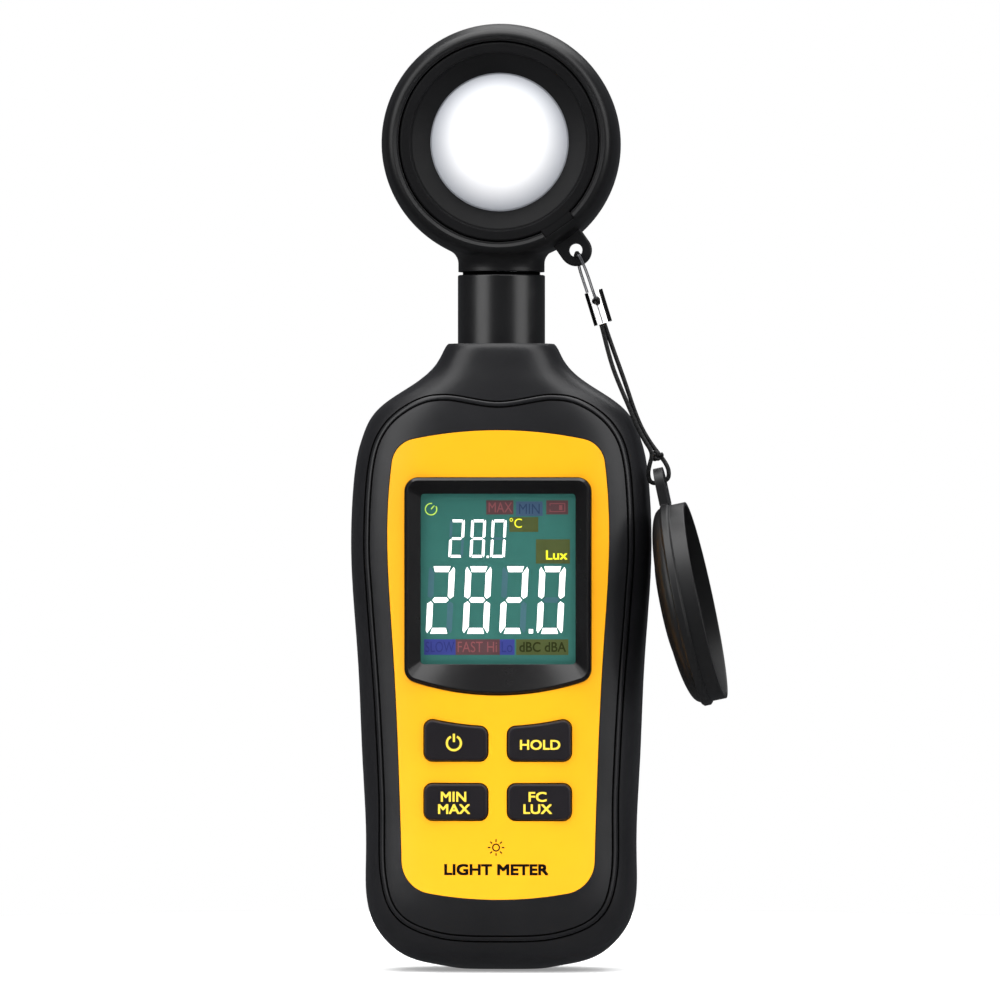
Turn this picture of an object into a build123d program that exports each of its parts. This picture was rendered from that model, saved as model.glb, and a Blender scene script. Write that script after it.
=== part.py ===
from build123d import *

"""A hand-held light meter: a moulded body, a swivelling sensor head and a tethered sensor cap.

Millimetres, +Z up. The origin is the lower end of the body, on the head's swivel axis, and the
display faces -Y. Each piece is a separate solid in parts/.
"""

import os
from math import asin, atan2, copysign, cos, degrees, pi, radians, sin, tan

# Body. Each section is its height, half width and half depth.
BODY_HEIGHT = 106.3
BODY_SECTIONS = [
    (0.0, 6.2, 3.2),
    (0.4, 9.4, 4.8),
    (1.0, 12.6, 6.6),
    (2.0, 15.9, 8.6),
    (3.7, 18.5, 10.7),
    (6.3, 20.8, 12.3),
    (9.8, 22.4, 13.2),
    (14.0, 23.0, 13.5),
    (29.0, 23.2, 13.5),
    (46.0, 24.0, 13.5),
    (62.8, 25.1, 13.5),
    (73.0, 25.5, 13.5),
    (81.0, 25.2, 13.3),
    (87.5, 24.4, 12.8),
    (92.0, 23.0, 12.3),
    (95.6, 20.5, 11.7),
    (98.3, 16.7, 11.2),
    (101.0, 12.8, 10.6),
    (103.7, 10.5, 10.0),
    (105.3, 9.7, 9.6),
    (106.3, 9.0, 9.0),
]
FRONT_POWER = 3.2  # how square the front half of a section is
BACK_POWER = 2.8
SECTION_POINTS = 28
WALL = 2.2
POST_INSET = 1.6  # the posts end inside the wall
BACK_FLAT = 13.0  # the back is flat at this depth
FRONT = 20.0  # further forward than any piece of the body

# Face
PANEL_SKIN = 1.2
PANEL_GAP = 0.08
PANEL_LOWER_CORNER = 5.6
PANEL_UPPER_CORNER = 4.6
BEZEL_HALF_WIDTH = 15.75
BEZEL_TOP = 83.5
BEZEL_SIDE_END = 49.6
BEZEL_CHIN = 46.8
BEZEL_CORNER = 2.3
BEZEL_FRONT = -13.75
BEZEL_CHAMFER = 0.45
WINDOW_SIZE = (29.5, 32.4)
WINDOW_CENTRE = (0, 66.5)
WINDOW_BACK = -10.85
WINDOW_THICKNESS = 0.8
LCD_VIEW = (26.2, 28.8)
LCD_CENTRE = (0, 66.4)
BEZEL_BACK = -10.8
BEVEL_INSET = 0.62  # the slope down to the display starts this far inside the bezel's outline
BEVEL_END = -11.9

# Keys
KEY_X = 7.05
KEY_WIDTH = 10.75
UPPER_KEY = (35.7, 44.0)  # bottom, and a height above its curved top
LOWER_KEY = (25.7, 31.85)
CHIN_CENTRE = 92.5
CHIN_RADIUS = 51.05
KEY_CORNER = 1.4
KEY_FRONT = -13.9
KEY_GAP = 0.15
KEY_FLANGE = (-10.4, -9.6)
KEY_STEM_END = -8.8
KEY_STEM = 2.0
DOME_FRONT = -7.9

# Inside the body
BOARD_BACK = -5.0
BOARD_THICKNESS = 1.6
BOARD_FRONT = BOARD_BACK - BOARD_THICKNESS
BOARD_ENDS = (15.0, 90.0)
BOARD_HALF_WIDTH = 18.5
BOARD_POSTS = [(-15.5, 19), (15.5, 19), (-11.5, 87.3), (11.5, 87.3)]
CASE_SCREWS = [(-14.5, 9.2), (14.5, 9.2), (-17.3, 90), (17.3, 90)]
CASE_SCREW_RADIUS = 1.05
CASE_SCREW_SEAT = 5.0

# Batteries and their door
CELL_RADIUS = 5.25
CELL_LENGTH = 43.3
CELL_PITCH = 11.0
CELL_Y = 5.2
CELL_BOTTOM = 16.4
NUB_HEIGHT = 0.9
TRAY_HALF_WIDTH = 17.8
TRAY_ENDS = (13.5, 63.7)
TRAY_FLOOR = (-1.6, -0.4)
TRAY_WALL = 1.1
TRAY_BACK = 10.4
DOOR_HALF_WIDTH = 16.0
DOOR_ENDS = (13.0, 64.0)
DOOR_SKIN = 1.8
DOOR_GAP = 0.15
DOOR_TOP_GAP = 0.35

# Neck and swivel
NECK_RADIUS = 7.43
NECK_TOP = 118.05
COLLAR_BOTTOM = 118.6
COLLAR_RADIUS = 7.35
SPIGOT_RADIUS = 6.3
SPIGOT_BOTTOM = 100.0
SPIGOT_BORE = 5.6  # wide below the spindle's bearing, for the clip
BEARING_BOTTOM = 113.2
NECK_FLANGE_RADIUS = 6.7
NECK_FLANGE_BOTTOM = 101.9
SPINDLE_RADIUS = 4.6
SPINDLE_BORE = 3.0
RUNNING_FIT = 0.05
PIN_CIRCLE = 5.7
PIN_RADIUS = 0.5
STOP_ANGLES = (-99, 189)  # the pin's slot in the head, about +Z from +X

# Head
HEAD_Z = 140.45
HEAD_RADIUS = 20.25
HEAD_SEATS = [(0, 15.0), (-12.99, -7.5), (12.99, -7.5)]
LUG_ANGLE = -54.84
LUG_DISTANCE = 22.4
LUG_RADIUS = 2.7
LUG_HOLE = 1.13
LUG_FACES = (-6.2, -3.8)
RECESS_RADIUS = 17.1
SENSOR_COLLAR_RADIUS = 16.85
# A tab on the sensor's collar lies in a notch of the head, towards the lug.
TAB_END = 17.97
TAB_WIDTH = 5.8
TAB_FACES = (-8.95, -8.35)
NOTCH_GAP = 0.08

# Lanyard and cap, which hang in a plane in front of the neck's middle
LANYARD_Y = -5.0
THREAD_DIAMETER = 0.45
CORD_DIAMETER = 0.75
FERRULE_TOP = (15.85, 115.2)
FERRULE_TILT = 17.0
FERRULE_LENGTH = 5.8
FERRULE_RADIUS = 1.55
CAP_CENTRE = (31.7, LANYARD_Y, 62.1)
CAP_TILT = 12.0
CAP_TURN = 3.0
CAP_FLANGE = 17.55
TAB_HOLE_DISTANCE = 20.9

os.makedirs("parts", exist_ok=True)


def power(value, exponent):
    return copysign(abs(value) ** exponent, value)


def section_points(half_width, half_depth, level=0.0):
    """Points round a rounded, nearly rectangular section of the body."""
    points = []
    for step in range(SECTION_POINTS):
        turn = pi / 3 + 2 * pi * step / SECTION_POINTS
        square = FRONT_POWER if sin(turn) < 0 else BACK_POWER
        across = half_width * power(cos(turn), 2 / square)
        points.append(Vector(across, half_depth * power(sin(turn), 2 / square), level))
    return points


def section_parameters():
    """The distance round one section at each point, used for all of them so that they loft evenly."""
    points = section_points(24.0, 13.3)
    travelled = [0.0]
    for here, there in zip(points, points[1:] + points[:1]):
        travelled.append(travelled[-1] + (there - here).length)
    return travelled


def body_form(inset):
    """The body's whole outer form, brought in by inset all round."""
    parameters = section_parameters()
    sections = []
    for height, half_width, half_depth in BODY_SECTIONS:
        level = inset + height * (BODY_HEIGHT - 2 * inset) / BODY_HEIGHT
        points = section_points(half_width - inset, half_depth - inset, level)
        sections.append(make_face(Edge.make_spline(points, periodic=True, parameters=parameters)))
    with BuildPart() as form:
        loft(sections)
        split(bisect_by=Plane.XZ.offset(inset - BACK_FLAT), keep=Keep.TOP)
    return form.part


def facing(y):
    """A plane at this depth that faces the front. Its x is +X and its y is +Z."""
    return Plane.XZ.offset(-y)


def ring_points(radius, angles):
    return [(radius * cos(radians(a)), radius * sin(radians(a))) for a in angles]


def finish(piece, name):
    """Names the piece and writes it."""
    piece.part.label = name
    export_step(piece.part, f"parts/{name}.step")


outer_form = body_form(0)
inner_form = body_form(WALL)
panel_back_form = body_form(PANEL_SKIN)
door_form = body_form(DOOR_SKIN)
post_form = body_form(POST_INSET)

# --------------------------------------------------------------------------- outlines on the face


def panel_outline(gap=0.0):
    """The face panel's outline, drawn in by gap all round."""
    side = [(16.3, 14.2), (16.7, 29.1), (17.85, 54.4), (18.84, 73.0), (17.6, 89.4 - gap)]
    side[0] = (16.3, 14.2 + gap)
    with BuildSketch(Plane.XZ) as outline:
        with BuildLine():
            right_side = Spline(*[(x - gap, z) for x, z in side])
            left_side = mirror(right_side, about=Plane.YZ)
            ThreePointArc(right_side @ 0, (0, 12.2 + gap), left_side @ 0)
            ThreePointArc(right_side @ 1, (0, 91.6 - gap), left_side @ 1)
        make_face()
        fillet(vertices().sort_by(Axis.Y)[:2], PANEL_LOWER_CORNER - gap)
        fillet(vertices().sort_by(Axis.Y)[-2:], PANEL_UPPER_CORNER - gap)
    return outline.sketch


def bezel_outline(y, inset=0.0):
    """The display bezel's outline at a depth, drawn in by inset all round."""
    half_width = BEZEL_HALF_WIDTH - inset
    side_end = BEZEL_SIDE_END + 0.7 * inset
    with BuildSketch(facing(y)) as outline:
        with BuildLine():
            Polyline(
                (half_width, side_end),
                (half_width, BEZEL_TOP - inset),
                (-half_width, BEZEL_TOP - inset),
                (-half_width, side_end),
            )
            ThreePointArc((half_width, side_end), (0, BEZEL_CHIN + inset), (-half_width, side_end))
        make_face()
        fillet(vertices(), BEZEL_CORNER - inset)
    return outline.sketch


def key_outline(side, ends, grow=0.0):
    """A key's outline. The upper keys' tops follow the curve of the display's chin."""
    bottom, top = ends
    with BuildSketch(Plane.XZ) as outline:
        with Locations((side * KEY_X, (bottom + top) / 2)):
            Rectangle(KEY_WIDTH, top - bottom)
        with Locations((0, CHIN_CENTRE)):
            Circle(CHIN_RADIUS, mode=Mode.SUBTRACT)
        fillet(vertices(), KEY_CORNER)
        if grow:
            offset(amount=grow, kind=Kind.ARC)
    return outline.sketch


KEYS = {
    "power_button": (-1, UPPER_KEY),
    "hold_button": (1, UPPER_KEY),
    "min_max_button": (-1, LOWER_KEY),
    "unit_button": (1, LOWER_KEY),
}

# --------------------------------------------------------------------------- front case

with BuildPart() as front_posts:
    with BuildSketch(facing(0)):
        with Locations(*CASE_SCREWS):
            Circle(2.7)
    extrude(amount=FRONT)
    with BuildSketch(facing(BOARD_FRONT)):
        with Locations(*BOARD_POSTS):
            Circle(2.0)
    extrude(amount=FRONT)
    add(post_form, mode=Mode.INTERSECT)

with BuildPart() as panel_pocket:
    extrude(panel_outline(), amount=FRONT)
    add(outer_form, mode=Mode.INTERSECT)
    add(panel_back_form, mode=Mode.SUBTRACT)

with BuildPart() as front_case:
    add(outer_form)
    add(inner_form, mode=Mode.SUBTRACT)
    split(bisect_by=Plane.XZ, keep=Keep.TOP)
    add(front_posts.part)
    add(panel_pocket.part, mode=Mode.SUBTRACT)
    extrude(bezel_outline(0, -PANEL_GAP), amount=FRONT, mode=Mode.SUBTRACT)
    for side, ends in KEYS.values():
        extrude(key_outline(side, ends, KEY_GAP), amount=FRONT, mode=Mode.SUBTRACT)
    with BuildSketch(facing(0)):
        with Locations(*CASE_SCREWS):
            Circle(CASE_SCREW_RADIUS)
    extrude(amount=7.2, mode=Mode.SUBTRACT)
    with BuildSketch(facing(BOARD_FRONT)):
        with Locations(*BOARD_POSTS):
            Circle(0.8)
    extrude(amount=3.2, mode=Mode.SUBTRACT)
    with BuildSketch(Plane.XY.offset(SPIGOT_BOTTOM)):
        Circle(SPIGOT_RADIUS)
    extrude(amount=10, mode=Mode.SUBTRACT)
finish(front_case, "front_case")

# --------------------------------------------------------------------------- face panel and display

with BuildPart() as face_panel:
    extrude(panel_outline(PANEL_GAP), amount=FRONT)
    add(outer_form, mode=Mode.INTERSECT)
    add(panel_back_form, mode=Mode.SUBTRACT)
    extrude(bezel_outline(0, -PANEL_GAP), amount=FRONT, mode=Mode.SUBTRACT)
    for side, ends in KEYS.values():
        extrude(key_outline(side, ends, KEY_GAP), amount=FRONT, mode=Mode.SUBTRACT)
finish(face_panel, "face_panel")

with BuildPart() as bezel_bevel:
    add(bezel_outline(BEZEL_FRONT, BEVEL_INSET))
    with BuildSketch(facing(BEVEL_END)):
        with BuildLine():
            right, top = LCD_VIEW[0] / 2, LCD_CENTRE[1] + LCD_VIEW[1] / 2
            bottom = LCD_CENTRE[1] - LCD_VIEW[1] / 2
            Polyline((right, bottom), (right, top), (-right, top), (-right, bottom), (right, bottom))
        make_face()
        fillet(vertices(), 0.6)
    loft()

with BuildPart() as display_bezel:
    extrude(bezel_outline(BEZEL_BACK), amount=BEZEL_BACK - BEZEL_FRONT)
    chamfer(faces().sort_by(Axis.Y)[0].edges(), BEZEL_CHAMFER)
    add(bezel_bevel.part, mode=Mode.SUBTRACT)
    with BuildSketch(facing(WINDOW_BACK - WINDOW_THICKNESS)):
        with Locations(WINDOW_CENTRE):
            RectangleRounded(*WINDOW_SIZE, 1.6)
    extrude(amount=-FRONT, mode=Mode.SUBTRACT)
    with BuildSketch(facing(0)):
        with Locations(LCD_CENTRE):
            RectangleRounded(*LCD_VIEW, 0.6)
    extrude(amount=FRONT, mode=Mode.SUBTRACT)
finish(display_bezel, "display_bezel")

with BuildPart() as display_window:
    with BuildSketch(facing(WINDOW_BACK)):
        with Locations(WINDOW_CENTRE):
            RectangleRounded(WINDOW_SIZE[0] - 0.1, WINDOW_SIZE[1] - 0.1, 1.55)
    extrude(amount=WINDOW_THICKNESS)
finish(display_window, "display_window")

with BuildPart() as lcd_panel:
    with BuildSketch(facing(-8.9)):
        with Locations(LCD_CENTRE):
            Rectangle(28.6, 31.0)
    extrude(amount=1.8)
finish(lcd_panel, "lcd_panel")

with BuildPart() as lcd_backlight:
    with BuildSketch(facing(-6.7)):
        with Locations(LCD_CENTRE):
            Rectangle(28.0, 26.8)
    extrude(amount=2.2)
finish(lcd_backlight, "lcd_backlight")

with BuildPart() as contact_strips:
    with BuildSketch(facing(BOARD_FRONT)):
        with Locations((0, 51.8), (0, 81.0)):
            Rectangle(25.0, 1.5)
    extrude(amount=2.3)
finish(contact_strips, "contact_strips")

# --------------------------------------------------------------------------- keys and their membrane

for name, (side, ends) in KEYS.items():
    with BuildPart() as key:
        extrude(key_outline(side, ends), amount=-KEY_FRONT)
        fillet(faces().sort_by(Axis.Y)[0].edges(), 0.45)
        split(bisect_by=facing(KEY_FLANGE[0]), keep=Keep.TOP)
        extrude(
            offset(key_outline(side, ends), 0.8, mode=Mode.PRIVATE).moved(Location((0, KEY_FLANGE[1], 0))),
            amount=KEY_FLANGE[1] - KEY_FLANGE[0],
        )
        with BuildSketch(facing(KEY_STEM_END)):
            with Locations((side * KEY_X, ends[0] + 3.2)):
                Circle(KEY_STEM)
        extrude(amount=KEY_STEM_END - KEY_FLANGE[1])
    finish(key, name)

with BuildPart() as keypad_membrane:
    with BuildSketch(facing(BOARD_FRONT)):
        with Locations((0, 34.3)):
            RectangleRounded(27.5, 23.0, 1.5)
    extrude(amount=0.6)
    with BuildSketch(facing(BOARD_FRONT)):
        for side, ends in KEYS.values():
            with Locations((side * KEY_X, ends[0] + 3.2)):
                Circle(2.6)
    extrude(amount=BOARD_FRONT - DOME_FRONT)
    fillet(faces().sort_by(Axis.Y)[0:4].edges(), 0.5)
finish(keypad_membrane, "keypad_membrane")

# --------------------------------------------------------------------------- main board

with BuildPart() as main_board:
    with BuildSketch(facing(BOARD_BACK)):
        with Locations((0, sum(BOARD_ENDS) / 2)):
            RectangleRounded(2 * BOARD_HALF_WIDTH, BOARD_ENDS[1] - BOARD_ENDS[0], 1.5)
        with Locations(*CASE_SCREWS):
            Circle(3.3, mode=Mode.SUBTRACT)
        with Locations(*BOARD_POSTS):
            Circle(0.85, mode=Mode.SUBTRACT)
    extrude(amount=BOARD_THICKNESS)
finish(main_board, "main_board")

with BuildPart() as board_screws:
    with BuildSketch(facing(BOARD_BACK)):
        with Locations(*BOARD_POSTS):
            Circle(1.8)
    extrude(amount=-1.2)
    with BuildSketch(facing(BOARD_BACK)):
        with Locations(*BOARD_POSTS):
            Circle(0.8)
    extrude(amount=4.4)
    with BuildSketch(facing(BOARD_BACK + 1.2)):
        with Locations(*BOARD_POSTS):
            Rectangle(2.2, 0.45)
            Rectangle(0.45, 2.2)
    extrude(amount=0.6, mode=Mode.SUBTRACT)
finish(board_screws, "board_screws")

with BuildPart() as controller_chip:
    with BuildSketch(facing(BOARD_BACK)):
        with Locations((0, 72)):
            RectangleRounded(10, 10, 0.5)
    extrude(amount=-1.5)
finish(controller_chip, "controller_chip")

with BuildPart() as board_components:
    with BuildSketch(facing(BOARD_BACK)):
        with Locations((-10, 72), (-10, 76), (10, 69), (-6, 82), (8, 40), (-8, 46)):
            Rectangle(2.0, 1.25)
        with Locations((9, 75), (-9, 67)):
            Rectangle(5.0, 3.0)
    extrude(amount=-1.1)
finish(board_components, "board_components")

with BuildPart() as buzzer:
    with BuildSketch(facing(BOARD_BACK)):
        with Locations((11.5, 81)):
            Circle(4.5)
    extrude(amount=-4.5)
    fillet(faces().sort_by(Axis.Y)[-1].edges(), 0.4)
    with BuildSketch(facing(BOARD_BACK + 4.5)):
        with Locations((11.5, 81)):
            Circle(0.9)
    extrude(amount=1.5, mode=Mode.SUBTRACT)
finish(buzzer, "buzzer")

with BuildPart() as temperature_sensor:
    with BuildSketch(facing(BOARD_BACK)):
        with Locations((-13.5, 80)):
            SlotOverall(5.0, 2.2, rotation=90)
    extrude(amount=-2.0)
finish(temperature_sensor, "temperature_sensor")

with BuildPart() as sensor_connector:
    with BuildSketch(facing(BOARD_BACK)):
        with Locations((0, 84)):
            Rectangle(8.0, 5.0)
    extrude(amount=-5.6)
    with BuildSketch(Plane.XY.offset(86.5)):
        with Locations((0, -2.2)):
            Rectangle(6.2, 3.8)
    extrude(amount=-3.2, mode=Mode.SUBTRACT)
finish(sensor_connector, "sensor_connector")

with BuildPart() as sensor_lead:
    with BuildLine():
        lead_path = FilletPolyline(
            (0, -2.2, 84.2), (0, -2.2, 92), (0, 0, 100), (0, 0, HEAD_Z - 12.3), radius=14
        )
    with BuildSketch(Plane(origin=lead_path @ 0, z_dir=lead_path % 0)):
        Circle(0.7)
    sweep()
finish(sensor_lead, "sensor_lead")

# --------------------------------------------------------------------------- batteries

CELL_CENTRES = [-CELL_PITCH, 0, CELL_PITCH]
CELL_TOPS = [1, -1, 1]  # which way each cell's nub points

with BuildPart() as battery_cells:
    with BuildSketch(Plane.XY.offset(CELL_BOTTOM)):
        with Locations(*[(x, CELL_Y) for x in CELL_CENTRES]):
            Circle(CELL_RADIUS)
    extrude(amount=CELL_LENGTH)
    fillet(edges().filter_by(GeomType.CIRCLE), 0.5)
    for x, way in zip(CELL_CENTRES, CELL_TOPS):
        end = CELL_BOTTOM + CELL_LENGTH if way > 0 else CELL_BOTTOM
        with BuildSketch(Plane.XY.offset(end)):
            with Locations((x, CELL_Y)):
                Circle(1.9)
        extrude(amount=way * NUB_HEIGHT)
finish(battery_cells, "battery_cells")

with BuildPart() as battery_tray:
    with BuildSketch(facing(TRAY_FLOOR[0])):
        with Locations((0, sum(TRAY_ENDS) / 2)):
            Rectangle(2 * TRAY_HALF_WIDTH, TRAY_ENDS[1] - TRAY_ENDS[0])
    extrude(amount=TRAY_FLOOR[0] - TRAY_BACK)
    with BuildSketch(facing(TRAY_FLOOR[1])):
        with Locations((0, sum(TRAY_ENDS) / 2)):
            Rectangle(2 * (TRAY_HALF_WIDTH - TRAY_WALL), TRAY_ENDS[1] - TRAY_ENDS[0] - 2 * TRAY_WALL)
    extrude(amount=-FRONT, mode=Mode.SUBTRACT)
    with BuildSketch(facing(8.4)):
        with Locations((0, TRAY_ENDS[0])):
            Rectangle(3 * TRAY_HALF_WIDTH, 3 * TRAY_WALL)
    extrude(amount=-FRONT, mode=Mode.SUBTRACT)
    with BuildSketch(facing(TRAY_FLOOR[1])):
        with Locations((-CELL_PITCH / 2, 39), (CELL_PITCH / 2, 39)):
            Rectangle(0.7, 30)
    extrude(amount=-2.4)
    add(inner_form, mode=Mode.INTERSECT)
finish(battery_tray, "battery_tray")

with BuildPart() as battery_contacts:
    for height, thickness in ((TRAY_ENDS[0] + TRAY_WALL, 0.3), (TRAY_ENDS[1] - TRAY_WALL, -0.3)):
        with BuildSketch(Plane.XY.offset(height)):
            with Locations(*[(x, CELL_Y - 0.5) for x in CELL_CENTRES]):
                Rectangle(8.0, 7.5)
        extrude(amount=thickness)
    for x, way in zip(CELL_CENTRES, CELL_TOPS):
        plate = TRAY_ENDS[1] - TRAY_WALL - 0.3 if way > 0 else TRAY_ENDS[0] + TRAY_WALL + 0.3
        nub = CELL_BOTTOM + CELL_LENGTH + NUB_HEIGHT if way > 0 else CELL_BOTTOM - NUB_HEIGHT
        with BuildSketch(Plane.XY.offset(plate)):
            with Locations((x, CELL_Y)):
                Circle(1.5)
        extrude(amount=nub - plate)
finish(battery_contacts, "battery_contacts")

# A compressed coil spring under each flat end, as turns of wire that lie on each other.
SPRING_WIRE = 0.27
with BuildPart() as battery_springs:
    for x, way in zip(CELL_CENTRES, CELL_TOPS):
        plate = TRAY_ENDS[0] + TRAY_WALL + 0.3 if way > 0 else TRAY_ENDS[1] - TRAY_WALL - 0.3
        turns = 3 if way > 0 else 5
        reach = CELL_BOTTOM - plate if way > 0 else plate - CELL_BOTTOM - CELL_LENGTH
        pitch = (reach - 2 * SPRING_WIRE) / (turns - 1)
        for turn in range(turns):
            level = plate + way * (SPRING_WIRE + pitch * turn)
            with Locations((x, CELL_Y, level)):
                Torus(3.4 - 0.12 * turn, SPRING_WIRE)
finish(battery_springs, "battery_springs")

with BuildPart() as battery_leads:
    with BuildSketch(facing(TRAY_FLOOR[0])):
        with Locations((-15.5, 24), (15.5, 24)):
            Circle(0.6)
    extrude(amount=TRAY_FLOOR[0] - BOARD_BACK)
finish(battery_leads, "battery_leads")

# --------------------------------------------------------------------------- rear case and door

with BuildSketch(Plane.XZ) as door_outline:
    with Locations((0, sum(DOOR_ENDS) / 2)):
        RectangleRounded(2 * DOOR_HALF_WIDTH, DOOR_ENDS[1] - DOOR_ENDS[0], 2.5)

with BuildSketch(Plane.XZ) as door_opening:
    with Locations((0, (DOOR_ENDS[0] - DOOR_GAP + DOOR_ENDS[1] + DOOR_TOP_GAP) / 2)):
        RectangleRounded(
            2 * (DOOR_HALF_WIDTH + DOOR_GAP), DOOR_ENDS[1] - DOOR_ENDS[0] + DOOR_GAP + DOOR_TOP_GAP, 2.5
        )

with BuildPart() as rear_posts:
    with BuildSketch(facing(0)):
        with Locations(*CASE_SCREWS):
            Circle(2.9)
    extrude(amount=-FRONT)
    add(post_form, mode=Mode.INTERSECT)

with BuildPart() as rear_case:
    add(outer_form)
    add(inner_form, mode=Mode.SUBTRACT)
    split(bisect_by=Plane.XZ, keep=Keep.BOTTOM)
    add(rear_posts.part)
    extrude(door_opening.sketch, amount=-FRONT, mode=Mode.SUBTRACT)
    with BuildSketch(facing(0)):
        with Locations(*CASE_SCREWS):
            Circle(CASE_SCREW_RADIUS + 0.15)
    extrude(amount=-FRONT, mode=Mode.SUBTRACT)
    with BuildSketch(facing(CASE_SCREW_SEAT)):
        with Locations(*CASE_SCREWS):
            Circle(2.2)
    extrude(amount=-FRONT, mode=Mode.SUBTRACT)
    with BuildSketch(Plane.XY.offset(SPIGOT_BOTTOM)):
        Circle(SPIGOT_RADIUS)
    extrude(amount=10, mode=Mode.SUBTRACT)
finish(rear_case, "rear_case")

with BuildPart() as battery_door:
    extrude(door_outline.sketch, amount=-FRONT)
    add(outer_form, mode=Mode.INTERSECT)
    add(door_form, mode=Mode.SUBTRACT)
    with BuildSketch(facing(BACK_FLAT)):
        with Locations(*[(0, 54.5 + 1.5 * row) for row in range(5)]):
            SlotOverall(11.0, 0.7)
    extrude(amount=0.5, mode=Mode.SUBTRACT)
    with BuildSketch(facing(BACK_FLAT - 1.0)):
        with Locations((-5.5, DOOR_ENDS[0] - 0.4), (5.5, DOOR_ENDS[0] - 0.4)):
            Rectangle(5.0, 3.6)
    extrude(amount=2.5)
    with BuildSketch(facing(BACK_FLAT)):
        with Locations((0, DOOR_ENDS[0] - 3.0)):
            Rectangle(40.0, 6.0)
    extrude(amount=2.5, mode=Mode.SUBTRACT)
finish(battery_door, "battery_door")

with BuildPart() as case_screws:
    with BuildSketch(facing(CASE_SCREW_SEAT)):
        with Locations(*CASE_SCREWS):
            Circle(2.0)
    extrude(amount=-1.6)
    fillet(faces().sort_by(Axis.Y)[-4:].edges(), 0.4)
    with BuildSketch(facing(CASE_SCREW_SEAT)):
        with Locations(*CASE_SCREWS):
            Circle(CASE_SCREW_RADIUS)
    extrude(amount=CASE_SCREW_SEAT + 6.5)
    with BuildSketch(facing(CASE_SCREW_SEAT + 1.6)):
        with Locations(*CASE_SCREWS):
            Rectangle(2.3, 0.5)
            Rectangle(0.5, 2.3)
    extrude(amount=0.9, mode=Mode.SUBTRACT)
finish(case_screws, "case_screws")

# --------------------------------------------------------------------------- neck and swivel

with BuildPart() as neck_tube:
    with BuildSketch(Plane.XY.offset(BODY_HEIGHT)):
        Circle(NECK_RADIUS)
    extrude(amount=NECK_TOP - BODY_HEIGHT)
    fillet(faces().sort_by(Axis.Z)[-1].edges(), 0.25)
    with BuildSketch(Plane.XY.offset(SPIGOT_BOTTOM)):
        Circle(SPIGOT_RADIUS)
    extrude(amount=BODY_HEIGHT - SPIGOT_BOTTOM)
    with BuildSketch(Plane.XY.offset(NECK_FLANGE_BOTTOM)):
        Circle(NECK_FLANGE_RADIUS)
    extrude(amount=BODY_HEIGHT - WALL - NECK_FLANGE_BOTTOM)
    with BuildSketch(Plane.XY.offset(SPIGOT_BOTTOM)):
        Circle(SPIGOT_BORE)
    extrude(amount=BEARING_BOTTOM - SPIGOT_BOTTOM, mode=Mode.SUBTRACT)
    with BuildSketch(Plane.XY.offset(SPIGOT_BOTTOM)):
        Circle(SPINDLE_RADIUS + RUNNING_FIT)
    extrude(amount=20, mode=Mode.SUBTRACT)
    with BuildSketch(Plane.XY.offset(NECK_TOP - 2)):
        with Locations((0, PIN_CIRCLE)):
            Circle(PIN_RADIUS)
    extrude(amount=3, mode=Mode.SUBTRACT)
finish(neck_tube, "neck_tube")

with BuildPart() as thrust_washer:
    with BuildSketch(Plane.XY.offset(NECK_TOP)):
        Circle(6.6)
        Circle(SPINDLE_RADIUS + RUNNING_FIT, mode=Mode.SUBTRACT)
        with Locations((0, PIN_CIRCLE)):
            Circle(PIN_RADIUS, mode=Mode.SUBTRACT)
    extrude(amount=COLLAR_BOTTOM - NECK_TOP - 0.05)
finish(thrust_washer, "thrust_washer")

with BuildPart() as swivel_stop_pin:
    with BuildSketch(Plane.XY.offset(NECK_TOP - 2)):
        with Locations((0, PIN_CIRCLE)):
            Circle(PIN_RADIUS)
    extrude(amount=3.6)
finish(swivel_stop_pin, "swivel_stop_pin")

SPINDLE_BOTTOM = 111.0
SPINDLE_FLANGE = (120.6, 122.0)
CLIP_LEVELS = (111.6, 112.2)
with BuildPart() as swivel_spindle:
    with BuildSketch(Plane.XY.offset(SPINDLE_BOTTOM)):
        Circle(SPINDLE_RADIUS)
    extrude(amount=SPINDLE_FLANGE[1] - SPINDLE_BOTTOM)
    with BuildSketch(Plane.XY.offset(SPINDLE_FLANGE[0])):
        Circle(6.4)
    extrude(amount=SPINDLE_FLANGE[1] - SPINDLE_FLANGE[0])
    with BuildSketch(Plane.XY.offset(CLIP_LEVELS[0])):
        Circle(SPINDLE_RADIUS)
        Circle(3.9, mode=Mode.SUBTRACT)
    extrude(amount=CLIP_LEVELS[1] - CLIP_LEVELS[0], mode=Mode.SUBTRACT)
    with BuildSketch(Plane.XY.offset(SPINDLE_BOTTOM)):
        Circle(SPINDLE_BORE)
    extrude(amount=20, mode=Mode.SUBTRACT)
finish(swivel_spindle, "swivel_spindle")

with BuildPart() as retaining_clip:
    with BuildSketch(Plane.XY.offset(CLIP_LEVELS[0])):
        Circle(5.3)
        Circle(3.9, mode=Mode.SUBTRACT)
        with Locations((0, -4.5)):
            Rectangle(2.6, 4.0, mode=Mode.SUBTRACT)
    extrude(amount=CLIP_LEVELS[1] - CLIP_LEVELS[0])
finish(retaining_clip, "retaining_clip")

with BuildPart() as spring_washer:
    with BuildSketch(Plane.XY.offset(CLIP_LEVELS[1])):
        Circle(5.4)
        Circle(SPINDLE_RADIUS, mode=Mode.SUBTRACT)
    extrude(amount=0.95)
finish(spring_washer, "spring_washer")

# --------------------------------------------------------------------------- sensor head
# Profiles are drawn as radius and depth on a level plane and turned about the head's own axis.

head_level = Plane.XY.offset(HEAD_Z)
head_axis = Axis((0, 0, HEAD_Z), (0, 1, 0))

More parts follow.
